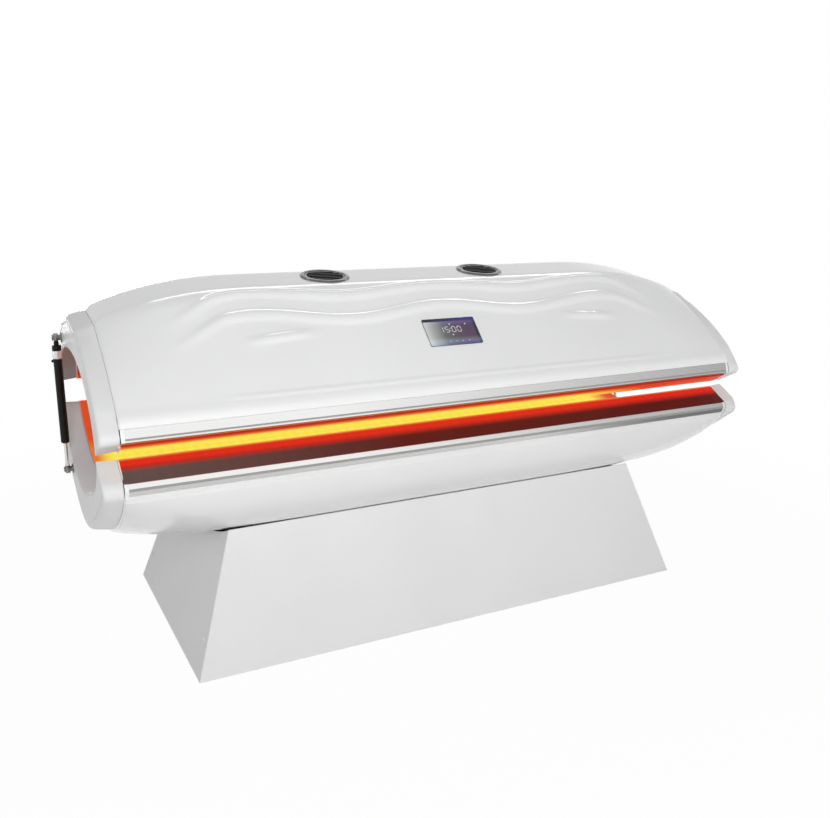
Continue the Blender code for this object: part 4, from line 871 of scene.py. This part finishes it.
CREST_POINT = 5
canopy_mouth = guide(canopy_mouth_half(CREST_DROP, 0.10), canopy_mouth_half(BACK_CREST_DROP, 0.06))
canopy_throat = guide(sideways(roof_front, -SHEET_WALL / 2)[CREST_POINT:],
                      sideways(roof_back, -SHEET_WALL / 2)[CREST_POINT:])
bed_inside = sideways(bed_half, SHEET_WALL / 2)[CREST_POINT:]
bed_mouth = guide(bed_mouth_half(), bed_mouth_half())
bed_throat = guide(bed_inside, bed_inside)
print("guide points", len(canopy_mouth), len(bed_mouth))


# %% Collar helpers
def step_toward(near, far, distance):
    """Move each point of a line some way towards its partner on another."""
    away = far - near
    return near + away / np.linalg.norm(away, axis=1)[:, None] * np.reshape(distance, (-1, 1))


FIRST_RINGS = ((0.0, 0.0010), (0.0004, 0.0003), (0.0012, 0.0))


def end_rim(name, side, outer_at, mouth, throat):
    """Rings of points from the shell's edge, over the rounded front, to the acrylic."""
    rings = [(RIM_X + inward, step_toward(outer_at(RIM_X + inward), throat, RIM_STEP + deep))
             for inward, deep in FIRST_RINGS]
    for turn in np.linspace(0, math.pi / 2, 7):
        x = END_X - RIM_ROUND * (1 - math.sin(turn))
        rings.append((x, step_toward(outer_at(x), mouth, RIM_STEP + RIM_ROUND * (1 - math.cos(turn)))))
    for inward, deep in FACE_GROOVE:
        rings.append((END_X - deep, step_toward(outer_at(END_X), mouth, inward)))
    for turn in np.linspace(0, math.pi / 2, 5):
        x = END_X - MOUTH_ROUND * (1 - math.cos(turn))
        inner = mouth + (throat - mouth) * (END_X - x) / (END_X - RIM_X)
        rings.append((x, step_toward(inner, outer_at(x), MOUTH_ROUND * (1 - math.sin(turn)))))
    rings.append((RIM_X, throat))
    rows = [[(side * x, *ring[i]) for x, ring in rings] for i in range(len(mouth))]
    return shade(skin(name, rows, round_rows=True, caps=True)), len(rings)


def finish_inner_wall(rim, ring_count, inner_wall_shade):
    """The inner wall is the last but one face of each strip between two rows."""
    rim.data.materials.append(inner_wall_shade)
    for index, face in enumerate(rim.data.polygons):
        face.material_index = int(index % ring_count == ring_count - 2 and len(face.vertices) == 4)


print("collar helpers ready")

# %% Collars
# Painted shade: the canopy collars' inner wall gets a cool grey in place of shaded white plastic.
roof_wall_painted_shade = speckled(
    "grey_painted_shade_roof_wall", {"IOR": 1.45, "Specular IOR Level": 0.3},
    (6.0, (0.33, 0.375, 0.405), (0.37, 0.415, 0.445)), (200.0, 0.40, 0.52))
SIDES = ((-1, "left"), (1, "right"))
for side, hand in SIDES:
    rim, ring_count = end_rim("canopy_rim_" + hand, side, canopy_rim_outer, canopy_mouth, canopy_throat)
    settle(rim, canopy_collar_painted_shade, "canopy", ["canopy_end_rim_" + hand])
    finish_inner_wall(rim, ring_count, roof_wall_painted_shade)
    rim, ring_count = end_rim("bed_rim_" + hand, side, hull_rim_outer, bed_mouth, bed_throat)
    settle(rim, bed_collar_painted_shade, "bed", ["bed_end_rim_" + hand])
print("rim rows", len(canopy_mouth))

# %% [markdown]
# ## Aluminium trims
# An extruded aluminium trim covers each lip and holds the edge of the acrylic. Extrusions are drawn and
# then brushed along their length, so the noise is stretched along the bed until it turns into fine lines.
# Each trim's tone falls along the bed, a painted reflection: bright at the left end, where it mirrors white,
# greyer towards the right. A narrow grey line over its nose is painted shade of a groove, and on the bed's
# trim the face below it is darker towards the right end, a painted dark reflection. White caps close both
# ends, and beyond each cap a thin black plate is painted shadow of the seam at the collar. One outline
# carried along the bed makes each of these pieces, and the faces take their finish by their height.


# %% Aluminium finish
def brushed(name, tones):
    """Metal brushed along the bed; tones are (x, brightness) along it: a painted reflection, brighter where it
    mirrors white.
    """
    material, tree, shader = finish(name, {"Metallic": 1.0})
    lines = grain(tree, 320.0, (0.004, 1, 1), 2.0)
    stops = [((x + END_X) / (2 * END_X), (tone, tone, 0.99 * tone)) for x, tone in tones]
    along = shades(tree, axis_share(tree, "X", -END_X, END_X), stops)
    streaks = shades(tree, lines, [(NOISE_LOW, grey(0.96)), (NOISE_HIGH, grey(1.0))])
    tree.links.new(blend(tree, 1.0, along, streaks, "MULTIPLY"), shader.inputs["Base Color"])
    tree.links.new(between(tree, lines, 0.22, 0.34), shader.inputs["Roughness"])
    relief(tree, shader, lines, 0.00002, 0.15)
    return material


# Painted reflection: bright at the left end, greyer to the right; the bed trims' lower face is darker, a
# painted dark reflection.
trim_metal_painted_reflection = brushed("brushed_aluminium_painted_reflection", [(-0.40, 0.90), (0.12, 0.68), (0.45, 0.55), (0.85, 0.42)])
dark_metal_painted_reflection = brushed("aluminium_painted_dark_reflection", [(0.20, 0.62), (0.45, 0.34), (0.65, 0.18), (0.90, 0.14)])
# Painted shade: the narrow grey line over each trim's nose stands for the shade of a groove.
groove_painted_shade = speckled(
    "grey_painted_groove_shade", {"IOR": 1.45, "Specular IOR Level": 0.2},
    (900.0, (0.27, 0.27, 0.26), (0.34, 0.34, 0.33)), (400.0, 0.5, 0.65), stretch=(0.006, 1, 1), detail=2.0)
# Painted shadow: a thin black plate at each trim end stands for the shadowed seam where the trim meets the
# collar.
seam_shadow_black = speckled("black_painted_seam_shadow", {"Roughness": 0.6}, (700.0, grey(0.012), grey(0.025)))
print("finishes", trim_metal_painted_reflection.name, groove_painted_shade.name, dark_metal_painted_reflection.name, seam_shadow_black.name)


# %% Cuts of the trims
def eased(outline, radius):
    """Round every corner of a closed outline."""
    outline = np.asarray(outline, float)
    points = []
    for before, corner, after in zip(np.roll(outline, 1, 0), outline, np.roll(outline, -1, 0)):
        a, b = before - corner, after - corner
        reach = min(radius, 0.4 * np.linalg.norm(a), 0.4 * np.linalg.norm(b))
        start = corner + a / np.linalg.norm(a) * reach
        end = corner + b / np.linalg.norm(b) * reach
        points += [start, (start + 2 * corner + end) / 4, end]
    return np.array(points)


ROOF_NOSE, BED_NOSE = (0.18, 0.30), (0.50, 0.65)  # shares of the trim's height
ROOF_LINE, BED_LINE = (0.30, 0.42), (0.42, 0.65)
TRIM_GAP, TRIM_EASE = 0.0003, 0.0007
FOOT_WALL, FOOT_TALL = 0.003, 0.0048


def on_face(lower, upper, z):
    """The point of a sloping face at a height."""
    share = (z - lower[1]) / (upper[1] - lower[1])
    return lower[0] + (upper[0] - lower[0]) * share, z


def roof_trim_outline(low):
    """Cut of a canopy trim: a sloping face with its nose, and a foot behind the lip."""
    top, seat = CANOPY_LIP_Z - TRIM_GAP, -LIP_Y + 0.0055
    tall = top - low
    return [
        (-LIP_Y - 0.0015, top), (seat, top), (seat, top + FOOT_TALL), (seat + FOOT_WALL, top + FOOT_TALL),
        (seat + FOOT_WALL, low), (seat + 0.001, low), *[(-NOSE_Y, low + share * tall) for share in ROOF_NOSE],
        on_face((-NOSE_Y, low + ROOF_NOSE[1] * tall), (-LIP_Y - 0.0015, top), low + ROOF_LINE[1] * tall),
    ]


def bed_trim_outline():
    """Cut of a bed trim, the same kind turned upside down."""
    low, seat = HULL_LIP_Z + TRIM_GAP, -LIP_Y + 0.0085
    tall = BED_TRIM_Z - low
    return [
        (-LIP_Y - 0.0025, BED_TRIM_Z), *[(-NOSE_Y, low + share * tall) for share in reversed(BED_NOSE)],
        on_face((-LIP_Y - 0.0015, low), (-NOSE_Y, low + BED_NOSE[0] * tall), low + BED_LINE[0] * tall),
        (-LIP_Y - 0.0015, low), (seat, low), (seat, low - FOOT_TALL), (seat + FOOT_WALL, low - FOOT_TALL),
        (seat + FOOT_WALL, BED_TRIM_Z),
    ]


print("bed trim", round((BED_TRIM_Z - HULL_LIP_Z) * 1000, 1), "mm tall")

# %% Trims
SEAM_SHADOW, END_CAP = 0.0016, 0.009
cap_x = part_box("canopy_front_trim")[1].x - SEAM_SHADOW
trim_x = cap_x - END_CAP
trims = (
    ("canopy_front_trim", np.array(roof_trim_outline(CANOPY_TRIM_Z)), "canopy"),
    ("canopy_back_trim", np.array(roof_trim_outline(CANOPY_BACK_TRIM_Z)) * (-1, 1), "canopy"),
    ("bed_front_trim", np.array(bed_trim_outline()), "bed"),
    ("bed_back_trim", np.array(bed_trim_outline()) * (-1, 1), "bed"),
)
for name, outline, body in trims:
    cut_line = eased(outline, TRIM_EASE)
    trim = shade(along_bed(name + "_extrusion", cut_line, trim_x), 50)
    settle(trim, trim_metal_painted_reflection, body, [name])
    trim.data.materials.append(groove_painted_shade)
    trim.data.materials.append(dark_metal_painted_reflection if body == "bed" else trim_metal_painted_reflection)
    low = HULL_LIP_Z + TRIM_GAP if body == "bed" else outline[:, 1].min()
    tall = (BED_TRIM_Z if body == "bed" else CANOPY_LIP_Z - TRIM_GAP) - low
    below, above = (low + share * tall for share in (BED_LINE if body == "bed" else ROOF_LINE))
    # By height: the upper face keeps the trim's finish, the nose line takes the painted groove shade, and a bed
    # trim's lower face the painted dark reflection.
    for face in trim.data.polygons:
        if abs(face.normal.x) < 0.5 and abs(face.center.y) > LIP_Y - 0.006:
            face.material_index = 0 if face.center.z > above else 1 if face.center.z > below else 2
    # A white cap closes each trim end, and beyond it sits the black plate of painted seam shadow.
    ends = (("end_cap", trim_x, cap_x, shell_white, "white_shell"),
            ("seam_shadow", cap_x, cap_x + SEAM_SHADOW, seam_shadow_black, "black_plastic"))
    for side, hand in SIDES:
        for part, near, far, made, slot in ends:
            rows = [[(side * x, y, z) for y, z in cut_line] for x in (near + 0.0001, far)]
            piece = skin(f"{name}_{part}_{hand}", rows, round_rows=True, caps=True)
            settle(shade(piece), made, body)
print("trims", len(trims))

# %% [markdown]
# ## Air outlets
# Two round outlets in the roof deck blow the fans' air out. Each has a chrome ring and a round louvre that
# turns in it, both toned dark: painted dark reflection, and painted shade of the outlet's dark inside.
# A ring could be a torus, but its cut has a seat and a rounded brim, so it is a drawn outline turned about
# the outlet's axis; the vanes are slim slats with eased edges, all at one slant.

# %% Chrome and black finishes
# The outlets' chrome is toned nearly black: painted dark reflection and painted shade.
chrome = speckled(
    "chrome_painted_dark_reflection", {"Metallic": 1.0}, (40.0, (0.105, 0.103, 0.101), (0.150, 0.147, 0.145)), (90.0, 0.05, 0.12))
bright_chrome = speckled(
    "bright_chrome", {"Metallic": 1.0}, (60.0, grey(0.62), grey(0.72)), (120.0, 0.08, 0.16))
black_plastic = speckled(
    "black_moulded_plastic", {"IOR": 1.46}, (30.0, (0.018, 0.018, 0.019), (0.032, 0.032, 0.033)),
    (200.0, 0.42, 0.58), (1400.0, 0.00004, 0.4))
print("finishes", chrome.name, bright_chrome.name, black_plastic.name)


# %% Turned and slim shapes
def turned(name, profile, frame_at, steps=72, ring=True):
    """Turn an outline of radius and height about the frame's Z."""
    shape = bmesh.new()
    angles = np.linspace(0, 2 * math.pi, steps, endpoint=False)
    wheel = [[shape.verts.new(frame_at @ Vector((r * math.cos(a), r * math.sin(a), h))) for r, h in profile]
             for a in angles]
    count = len(profile)
    for near, far in zip(wheel, wheel[1:] + wheel[:1]):
        for i in range(count if ring else count - 1):
            j = (i + 1) % count
            shape.faces.new((near[i], near[j], far[j], far[i]))
    bmesh.ops.remove_doubles(shape, verts=shape.verts, dist=0.000002)
    return from_shape(name, shape)


def slat(shape, size, frame_at, ease=0.0004):
    """A slim block with eased edges, added to a shape."""
    block = bmesh.new()
    bmesh.ops.create_cube(block, size=1.0)
    bmesh.ops.scale(block, vec=Vector(size), verts=block.verts)
    bmesh.ops.bevel(block, geom=block.edges, offset=ease, segments=2, affect="EDGES", profile=0.5)
    bmesh.ops.transform(block, matrix=frame_at, verts=block.verts)
    spare = bpy.data.meshes.new("slat")
    block.to_mesh(spare)
    block.free()
    shape.from_mesh(spare)
    bpy.data.meshes.remove(spare)


print("shape helpers ready")

# %% Air outlets
RING_OUTLINE = [
    (0.0645, 0.0048), (0.0673, 0.0032), (0.0680, 0.0016), (0.0680, 0.0003), (0.0597, 0.0003), (0.0597, -0.007),
    (0.0522, -0.007), (0.0522, -0.0055), (0.0552, -0.0055), (0.0552, 0.0038), (0.0572, 0.0050),
]
HOOP_OUTLINE = [(0.0545, 0.003), (0.0545, -0.0052), (0.0495, -0.0052), (0.0495, 0.003)]
VANES, VANE_PITCH, VANE_WALL, VANE_TALL = 5, 0.0175, 0.0018, 0.0125
VANE_CIRCLE, VANE_PLAY, VANE_SLANT = 0.0515, 0.004, math.radians(42)
for hand, at_outlet in outlet_frames.items():
    ring = turned("outlet_ring_" + hand, eased(RING_OUTLINE, 0.0012), at_outlet)
    settle(shade(ring, 50), chrome, body_of_node["vent_bezel_" + hand], ["vent_bezel_" + hand])
    shape = bmesh.new()
    slant = Matrix.Rotation(VANE_SLANT, 4, "X")
    for i in range(VANES):
        across = (i - VANES // 2) * VANE_PITCH
        length = 2 * math.sqrt(VANE_CIRCLE ** 2 - across ** 2) - VANE_PLAY
        at_vane = at_outlet @ Matrix.Translation((0, across, 0.0002)) @ slant
        slat(shape, (length, VANE_WALL, VANE_TALL), at_vane)
    louvre = from_shape("louvre_vanes_" + hand, shape)
    body = body_of_node["vent_louvre_" + hand]
    settle(shade(louvre), chrome, body, ["vent_louvre_" + hand])
    hoop = shade(turned("louvre_hoop_" + hand, eased(HOOP_OUTLINE, 0.0009), at_outlet), 50)
    settle(hoop, chrome, body, ["vent_louvre_" + hand])
print("outlets", list(outlet_frames))

# %% [markdown]
# ## Touch screen
# The controls are a small glass screen on the front slope. A screen shot would be an image; plain shapes
# do as well: a dusky picture from a colour ramp, a dark frame, a bar of blue at the top and bottom, and
# digits of a timer built from short strokes, as on any clock. The screen's pieces carry the slope's
# frame, so that their own coordinates run along and up the screen, and the ramps can use them.

# %% Screen finishes
picture = speckled(
    "screen_picture", {"Roughness": 0.08, "IOR": 1.5, "Emission Strength": 0.9, "Specular IOR Level": 0.2},
    (25.0, (0.020, 0.020, 0.028), (0.035, 0.035, 0.045)))
tree = picture.node_tree
shader = tree.nodes["Principled BSDF"]
along, upward = axis_share(tree, "X", -0.075, 0.075), axis_share(tree, "Y", -0.040, 0.040)
dusk = shades(tree, along, [
    (0.0, (0.56, 0.57, 0.55)), (0.12, (0.36, 0.37, 0.35)), (0.32, (0.13, 0.13, 0.125)),
    (0.55, (0.085, 0.055, 0.085)), (0.85, (0.070, 0.030, 0.072)), (0.965, (0.060, 0.030, 0.080)),
    (0.975, (0.006, 0.006, 0.014)),
])
bars = shades(tree, upward, [
    (0.0, (0.02, 0.05, 0.20)), (0.05, (0.06, 0.13, 0.22)), (0.13, (0.08, 0.13, 0.14)),
    (0.21, (0.03, 0.05, 0.02)), (0.27, grey(0.0)), (0.74, grey(0.0)), (0.88, (0.045, 0.045, 0.16)),
    (0.915, (0.0, 0.0, 0.10)), (0.925, grey(0.0)),
])
top_line = shades(tree, along, [
    (0.20, (0.008, 0.008, 0.014)), (0.50, (0.016, 0.013, 0.090)), (0.90, (0.026, 0.018, 0.210)),
])
both = blend(tree, 0.8, dusk, bars, "ADD")
on_top = remap(tree, upward, 0.920, 0.930)
tree.links.new(blend(tree, on_top, both, top_line), shader.inputs["Emission Color"])
glass_edge = speckled(
    "dark_screen_glass", {"Roughness": 0.06, "IOR": 1.5, "Coat Weight": 0.5},
    (80.0, (0.008, 0.008, 0.022), (0.016, 0.016, 0.040)))
figures, tree, shader = finish("screen_figures", {
    "Roughness": 0.3, "Emission Strength": 0.45, "Base Color": (0.20, 0.20, 0.21, 1.0),
})
lit = shades(tree, grain(tree, 400.0), [(NOISE_LOW, (0.80, 0.80, 0.84)), (NOISE_HIGH, (0.92, 0.92, 0.95))])
tree.links.new(lit, shader.inputs["Emission Color"])
print("finishes", picture.name, glass_edge.name, figures.name)


# %% Touch screen
def rounded_box(width, height, radius, corner=6):
    """A flat box with round corners."""
    turns = np.linspace(0, math.pi / 2, corner + 1)
    points = []
    for quarter, (sx, sy) in enumerate(((1, 1), (-1, 1), (-1, -1), (1, -1))):
        for a in turns + quarter * math.pi / 2:
            points.append((sx * (width / 2 - radius) + radius * math.cos(a),
                           sy * (height / 2 - radius) + radius * math.sin(a)))
    return np.array(points)


def slab(name, outline, low, high, frame_at, ease=0.0006):
    """A flat outline with thickness; its object carries the frame."""
    middle = outline.mean(0)
    inner = middle + (outline - middle) * (1 - ease / np.abs(outline - middle).max(0))
    rows = [[(*p, low) for p in outline], [(*p, high - ease) for p in outline], [(*p, high) for p in inner]]
    piece = skin(name, rows, round_rows=True, caps=True)
    piece.matrix_world = frame_at
    return piece


pane = slab("screen_glass", rounded_box(0.160, 0.088, 0.004), 0.0003, 0.0033, screen_frame)
settle(shade(pane), glass_edge, "canopy", ["touch_screen"])
view = slab("screen_view", rounded_box(0.1597, 0.0877, 0.0038), 0.0030, 0.0035, screen_frame, 0.0001)
settle(shade(view), picture, "canopy")
print("screen at", [round(v, 3) for v in screen_frame.translation])

# %% Figures of the timer
STROKES = {"0": "abcdef", "1": "bc", "5": "afgcd"}
BARS = {"a": (0, 1, False), "b": (1, 0.5, True), "c": (1, -0.5, True), "d": (0, -1, False),
        "e": (-1, -0.5, True), "f": (-1, 0.5, True), "g": (0, 0, False)}
PEN, HALF_WIDE, HALF_TALL = 0.0022, 0.0052, 0.0088
INK_TALL, INK_Z = 0.0003, 0.0036
TIMER_X, TIMER_Y = -0.003, 0.006
MARK, DASH = (0.0038, 0.0038), (0.0045, 0.0016)
shape = bmesh.new()


def stroke(size, x, y):
    """One flat mark on the screen."""
    slat(shape, (*size, INK_TALL), Matrix.Translation((x, y, INK_Z)), 0.0001)


for digit, x in (("1", -0.0290), ("5", -0.0115), ("0", 0.0085), ("0", 0.0255)):
    for bar in STROKES[digit]:
        bar_x, bar_y, upright = BARS[bar]
        size = (PEN, HALF_TALL - PEN) if upright else (2 * HALF_WIDE - PEN, PEN)
        stroke(size, TIMER_X + x + bar_x * HALF_WIDE, TIMER_Y + bar_y * HALF_TALL)
for y in (-0.0035, 0.0035):
    stroke((PEN, PEN), TIMER_X - 0.0015, TIMER_Y + y)
for x, y in ((-0.002, 0.0235), (0.046, 0.0215), (-0.002, -0.0115)):
    stroke(MARK, x, y)
for x in (-0.018, 0.002, 0.020, 0.040):
    stroke(DASH, x, -0.0330)
timer = from_shape("screen_timer", shape)
timer.matrix_world = screen_frame
settle(timer, figures, "canopy")
print("timer", len(timer.data.polygons), "faces")

# %% [markdown]
# ## Gas springs
# A gas spring at each end carries the canopy: a black tube with a silver sleeve hangs from the canopy's
# pin, and a chrome rod stands on the bed's pin. Each is a turned outline with a plated eye at its end.
# Tube and rod ride on bodies of their own, so the rod slides out of the tube when the canopy lifts.

# %% Spring finishes
tube_black = speckled(
    "black_tube_paint", {"IOR": 1.5, "Specular IOR Level": 0.15}, (50.0, grey(0.006), grey(0.012)),
    (300.0, 0.32, 0.46))
steel = speckled(
    "brushed_steel", {"Metallic": 1.0}, (500.0, (0.42, 0.42, 0.43), (0.54, 0.54, 0.55)), (220.0, 0.22, 0.36),
    stretch=(0.05, 1, 1))
zinc = speckled("grey_zinc_plating", {"Metallic": 1.0}, (140.0, grey(0.19), grey(0.28)), (220.0, 0.26, 0.40))
silver_paint = speckled(
    "silver_sleeve_paint", {"Metallic": 0.4}, (90.0, grey(0.74), grey(0.84)), (150.0, 0.30, 0.42))
print("finishes", tube_black.name, steel.name, zinc.name, silver_paint.name)

# %% Outlines of the springs
TUBE_LINE = [
    (0.0, -0.010), (0.0062, -0.010), (0.0062, -0.020), (0.0110, -0.021), (0.0118, -0.023), (0.0118, -0.034),
    (0.0110, -0.035), (0.0112, -0.057), (0.0112, -0.289), (0.0082, -0.292), (0.0080, -0.292), (0.0080, -0.060),
    (0.0, -0.060),
]
SLEEVE_LINE = [(0.0122, -0.0355), (0.0122, -0.0565), (0.0113, -0.0565), (0.0113, -0.0355)]
BEAD_LINE = [(0.0, 0.0045), (0.0022, 0.0042), (0.0036, 0.0026), (0.0040, 0.0), (0.0036, -0.003), (0.0, -0.003)]
ROD_FOOT_LINE = [(0.0, 0.028), (0.0052, 0.028), (0.0060, 0.026), (0.0060, 0.010), (0.0, 0.010)]
EYE_LINE = [(0.012, -0.0062), (0.012, 0.0062), (0.0053, 0.0062), (0.0053, -0.0062)]
SPRING_OUT, ROD_SHORT, ROUND = 0.0145, 0.061, 40


def eye(name, frame_at):
    """A ring about the pin, square to the spring."""
    across = frame_at @ Matrix.Rotation(math.pi / 2, 4, "Y")
    return shade(turned(name, eased(EYE_LINE, 0.0012), across, ROUND))


print("tube radius", max(radius for radius, _ in TUBE_LINE), "m")

# %% Gas springs
for side, hand in SIDES:
    upper_low, upper_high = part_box("strut_stud_upper_" + hand)
    lower_low, lower_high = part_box("strut_stud_lower_" + hand)
    upper, lower = (upper_low + upper_high) / 2, (lower_low + lower_high) / 2
    upper.x = lower.x = side * (END_X + SPRING_OUT)
    lean = -math.atan2(upper.y - lower.y, upper.z - lower.z)
    length = (upper - lower).length
    hang = Matrix.Translation(upper) @ Matrix.Rotation(lean, 4, "X")
    stand = Matrix.Translation(lower) @ Matrix.Rotation(lean, 4, "X")
    tube_body, rod_body = body_of_node["strut_tube_" + hand], body_of_node["strut_rod_" + hand]
    tube = shade(turned("spring_tube_" + hand, TUBE_LINE, hang, ROUND, False))
    settle(tube, tube_black, tube_body, ["strut_tube_" + hand])
    sleeve = shade(turned("spring_sleeve_" + hand, eased(SLEEVE_LINE, 0.0004), hang, ROUND))
    settle(sleeve, silver_paint, tube_body)
    beside = hang @ Matrix.Translation((side * 0.0118, 0, -0.063)) @ Matrix.Rotation(side * math.pi / 2, 4, "Y")
    bead = shade(turned("spring_bead_" + hand, BEAD_LINE, beside, ROUND // 2, False))
    settle(bead, tube_black, tube_body)
    settle(eye("spring_top_eye_" + hand, hang), zinc, tube_body)
    tip = length - ROD_SHORT
    rod_line = [(0.0, tip), (0.004, tip), (0.005, tip - 0.001), (0.005, 0.028), (0.0, 0.028)]
    rod = shade(turned("spring_rod_" + hand, rod_line, stand, ROUND, False))
    settle(rod, bright_chrome, rod_body, ["strut_rod_" + hand])
    foot = shade(turned("spring_rod_foot_" + hand, ROD_FOOT_LINE, stand, ROUND, False))
    settle(foot, silver_paint, rod_body)
    settle(eye("spring_low_eye_" + hand, stand), zinc, rod_body)
print("spring length", round(length, 3), "m")

# %% [markdown]
# ## Plinth and the plain metal pieces
# The plinth is folded sheet metal with a white powder coat, which has a finer, drier grain than the
# moulded shells. Its flat panels need no new shape, only softer edges: each is a copy of the engineered
# piece with a small bevel, because edges that are perfectly sharp look drawn rather than made.

# %% Powder coat and plate finishes
powder_white = speckled(
    "white_powder_coat", {"IOR": 1.45}, (3.0, (0.690, 0.690, 0.687), (0.720, 0.720, 0.717)),
    (500.0, 0.36, 0.48), (1500.0, 0.00004, 0.5))
grey_plate = speckled(
    "grey_painted_plate", {"IOR": 1.45}, (12.0, (0.42, 0.42, 0.41), (0.48, 0.48, 0.47)), (300.0, 0.45, 0.6))
lamp_board = speckled("lamp_board_amber", {"Roughness": 0.5}, (45.0, (0.70, 0.40, 0.10), (0.80, 0.48, 0.14)))
circuit_green = speckled(
    "circuit_board_green", {"Roughness": 0.4}, (240.0, (0.010, 0.070, 0.028), (0.030, 0.150, 0.060)),
    marks=(0.35, 0.65))
print("finishes", powder_white.name, grey_plate.name, lamp_board.name, circuit_green.name)


# %% Eased copies of plain pieces
def eased_copy(node, finish_made, width=0.0008, segments=2):
    """A copy of an engineered piece with its sharp edges rounded."""
    piece = bpy.data.objects.new(node + "_eased", nodes[node].data.copy())
    scene.collection.objects.link(piece)
    shape = bmesh.new()
    shape.from_mesh(piece.data)
    bmesh.ops.remove_doubles(shape, verts=shape.verts, dist=0.00002)
    bmesh.ops.dissolve_limit(shape, angle_limit=math.radians(1), verts=shape.verts, edges=shape.edges)
    shape.to_mesh(piece.data)
    shape.free()
    rounding = piece.modifiers.new("eased_edges", "BEVEL")
    rounding.width = width
    rounding.segments = segments
    rounding.angle_limit = math.radians(40)
    rounding.harden_normals = True
    return settle(shade(piece, 40), finish_made, body_of_node[node], [node])


for panel in ("front", "back", "left", "right"):
    eased_copy(f"plinth_{panel}_panel", powder_white, 0.0010, 3)
for hand in ("left", "right"):
    for half in ("bed", "canopy"):
        eased_copy(f"hinge_leaf_{half}_{hand}", steel, 0.0005)
    eased_copy("hinge_pin_" + hand, steel, 0.0006)
    eased_copy("power_supply_" + hand, grey_plate, 0.0005)
eased_copy("mains_inlet", black_plastic, 0.0005)

# %% Finishes of the engineered pieces that stay
STAYING = {
    "plinth_floor_tray": powder_white, "bed_light_board": lamp_board, "canopy_light_board": lamp_board,
    "display_module": black_plastic, "control_board": circuit_green,
}
for number in (1, 2, 3):
    STAYING[f"bed_rib_{number}"] = powder_white
for side, hand in SIDES:
    STAYING["plinth_bulkhead_" + hand] = STAYING["canopy_rib_" + hand] = powder_white
    STAYING["bed_end_plate_" + hand] = hull_white_painted_shade
    STAYING["canopy_end_plate_" + hand] = shell_white
    STAYING["strut_stud_upper_" + hand] = STAYING["strut_stud_lower_" + hand] = zinc
    STAYING["fan_frame_" + hand] = STAYING["fan_rotor_" + hand] = black_plastic
for name, finish_made in STAYING.items():
    nodes[name].data.materials.clear()
    nodes[name].data.materials.append(finish_made)
plain = [name for name, node in nodes.items() if not node.hide_render and name not in STAYING]
print("engineered pieces without a new finish:", plain)

# %% [markdown]
# ## Screws of the end panels
# White button-head screws hold the end panels near their sloping edges. Small heads are turned outlines
# with a socket, set square on the panel: its two directions come from the panel's own corners.

# %% Panel screws
HEAD_LINE = [(0.0, 0.0016), (0.0018, 0.0016), (0.0018, 0.0034), (0.0030, 0.0034), (0.0044, 0.0026),
             (0.0050, 0.0012), (0.0050, 0.0), (0.0, 0.0)]
SCREW_IN = 0.030
SCREW_PLACES = ((0.275, -1), (0.085, -1), (0.275, 1), (0.085, 1))  # height, front or back edge
for side, hand in SIDES:
    low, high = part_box(f"plinth_{hand}_panel")
    foot_x, head_x = (low.x, high.x) if side < 0 else (high.x, low.x)
    tilt = math.atan2(abs(foot_x - head_x), high.z - low.z)
    foot_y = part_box("plinth_front_panel")[0].y
    slope_y = (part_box("plinth_front_panel")[1].y - foot_y) / high.z
    for number, (height, edge) in enumerate(SCREW_PLACES, 1):
        y = edge * (abs(foot_y) - height * slope_y - SCREW_IN)
        x = foot_x - side * height * math.tan(tilt)
        square = Matrix.Translation((x, y, height)) @ Matrix.Rotation(side * (math.pi / 2 - tilt), 4, "Y")
        head = shade(turned(f"panel_screw_{hand}_{number}", HEAD_LINE, square, 24, False), 50)
        settle(head, powder_white, "bed")
print("panel lean", round(math.degrees(tilt), 1), "degrees")
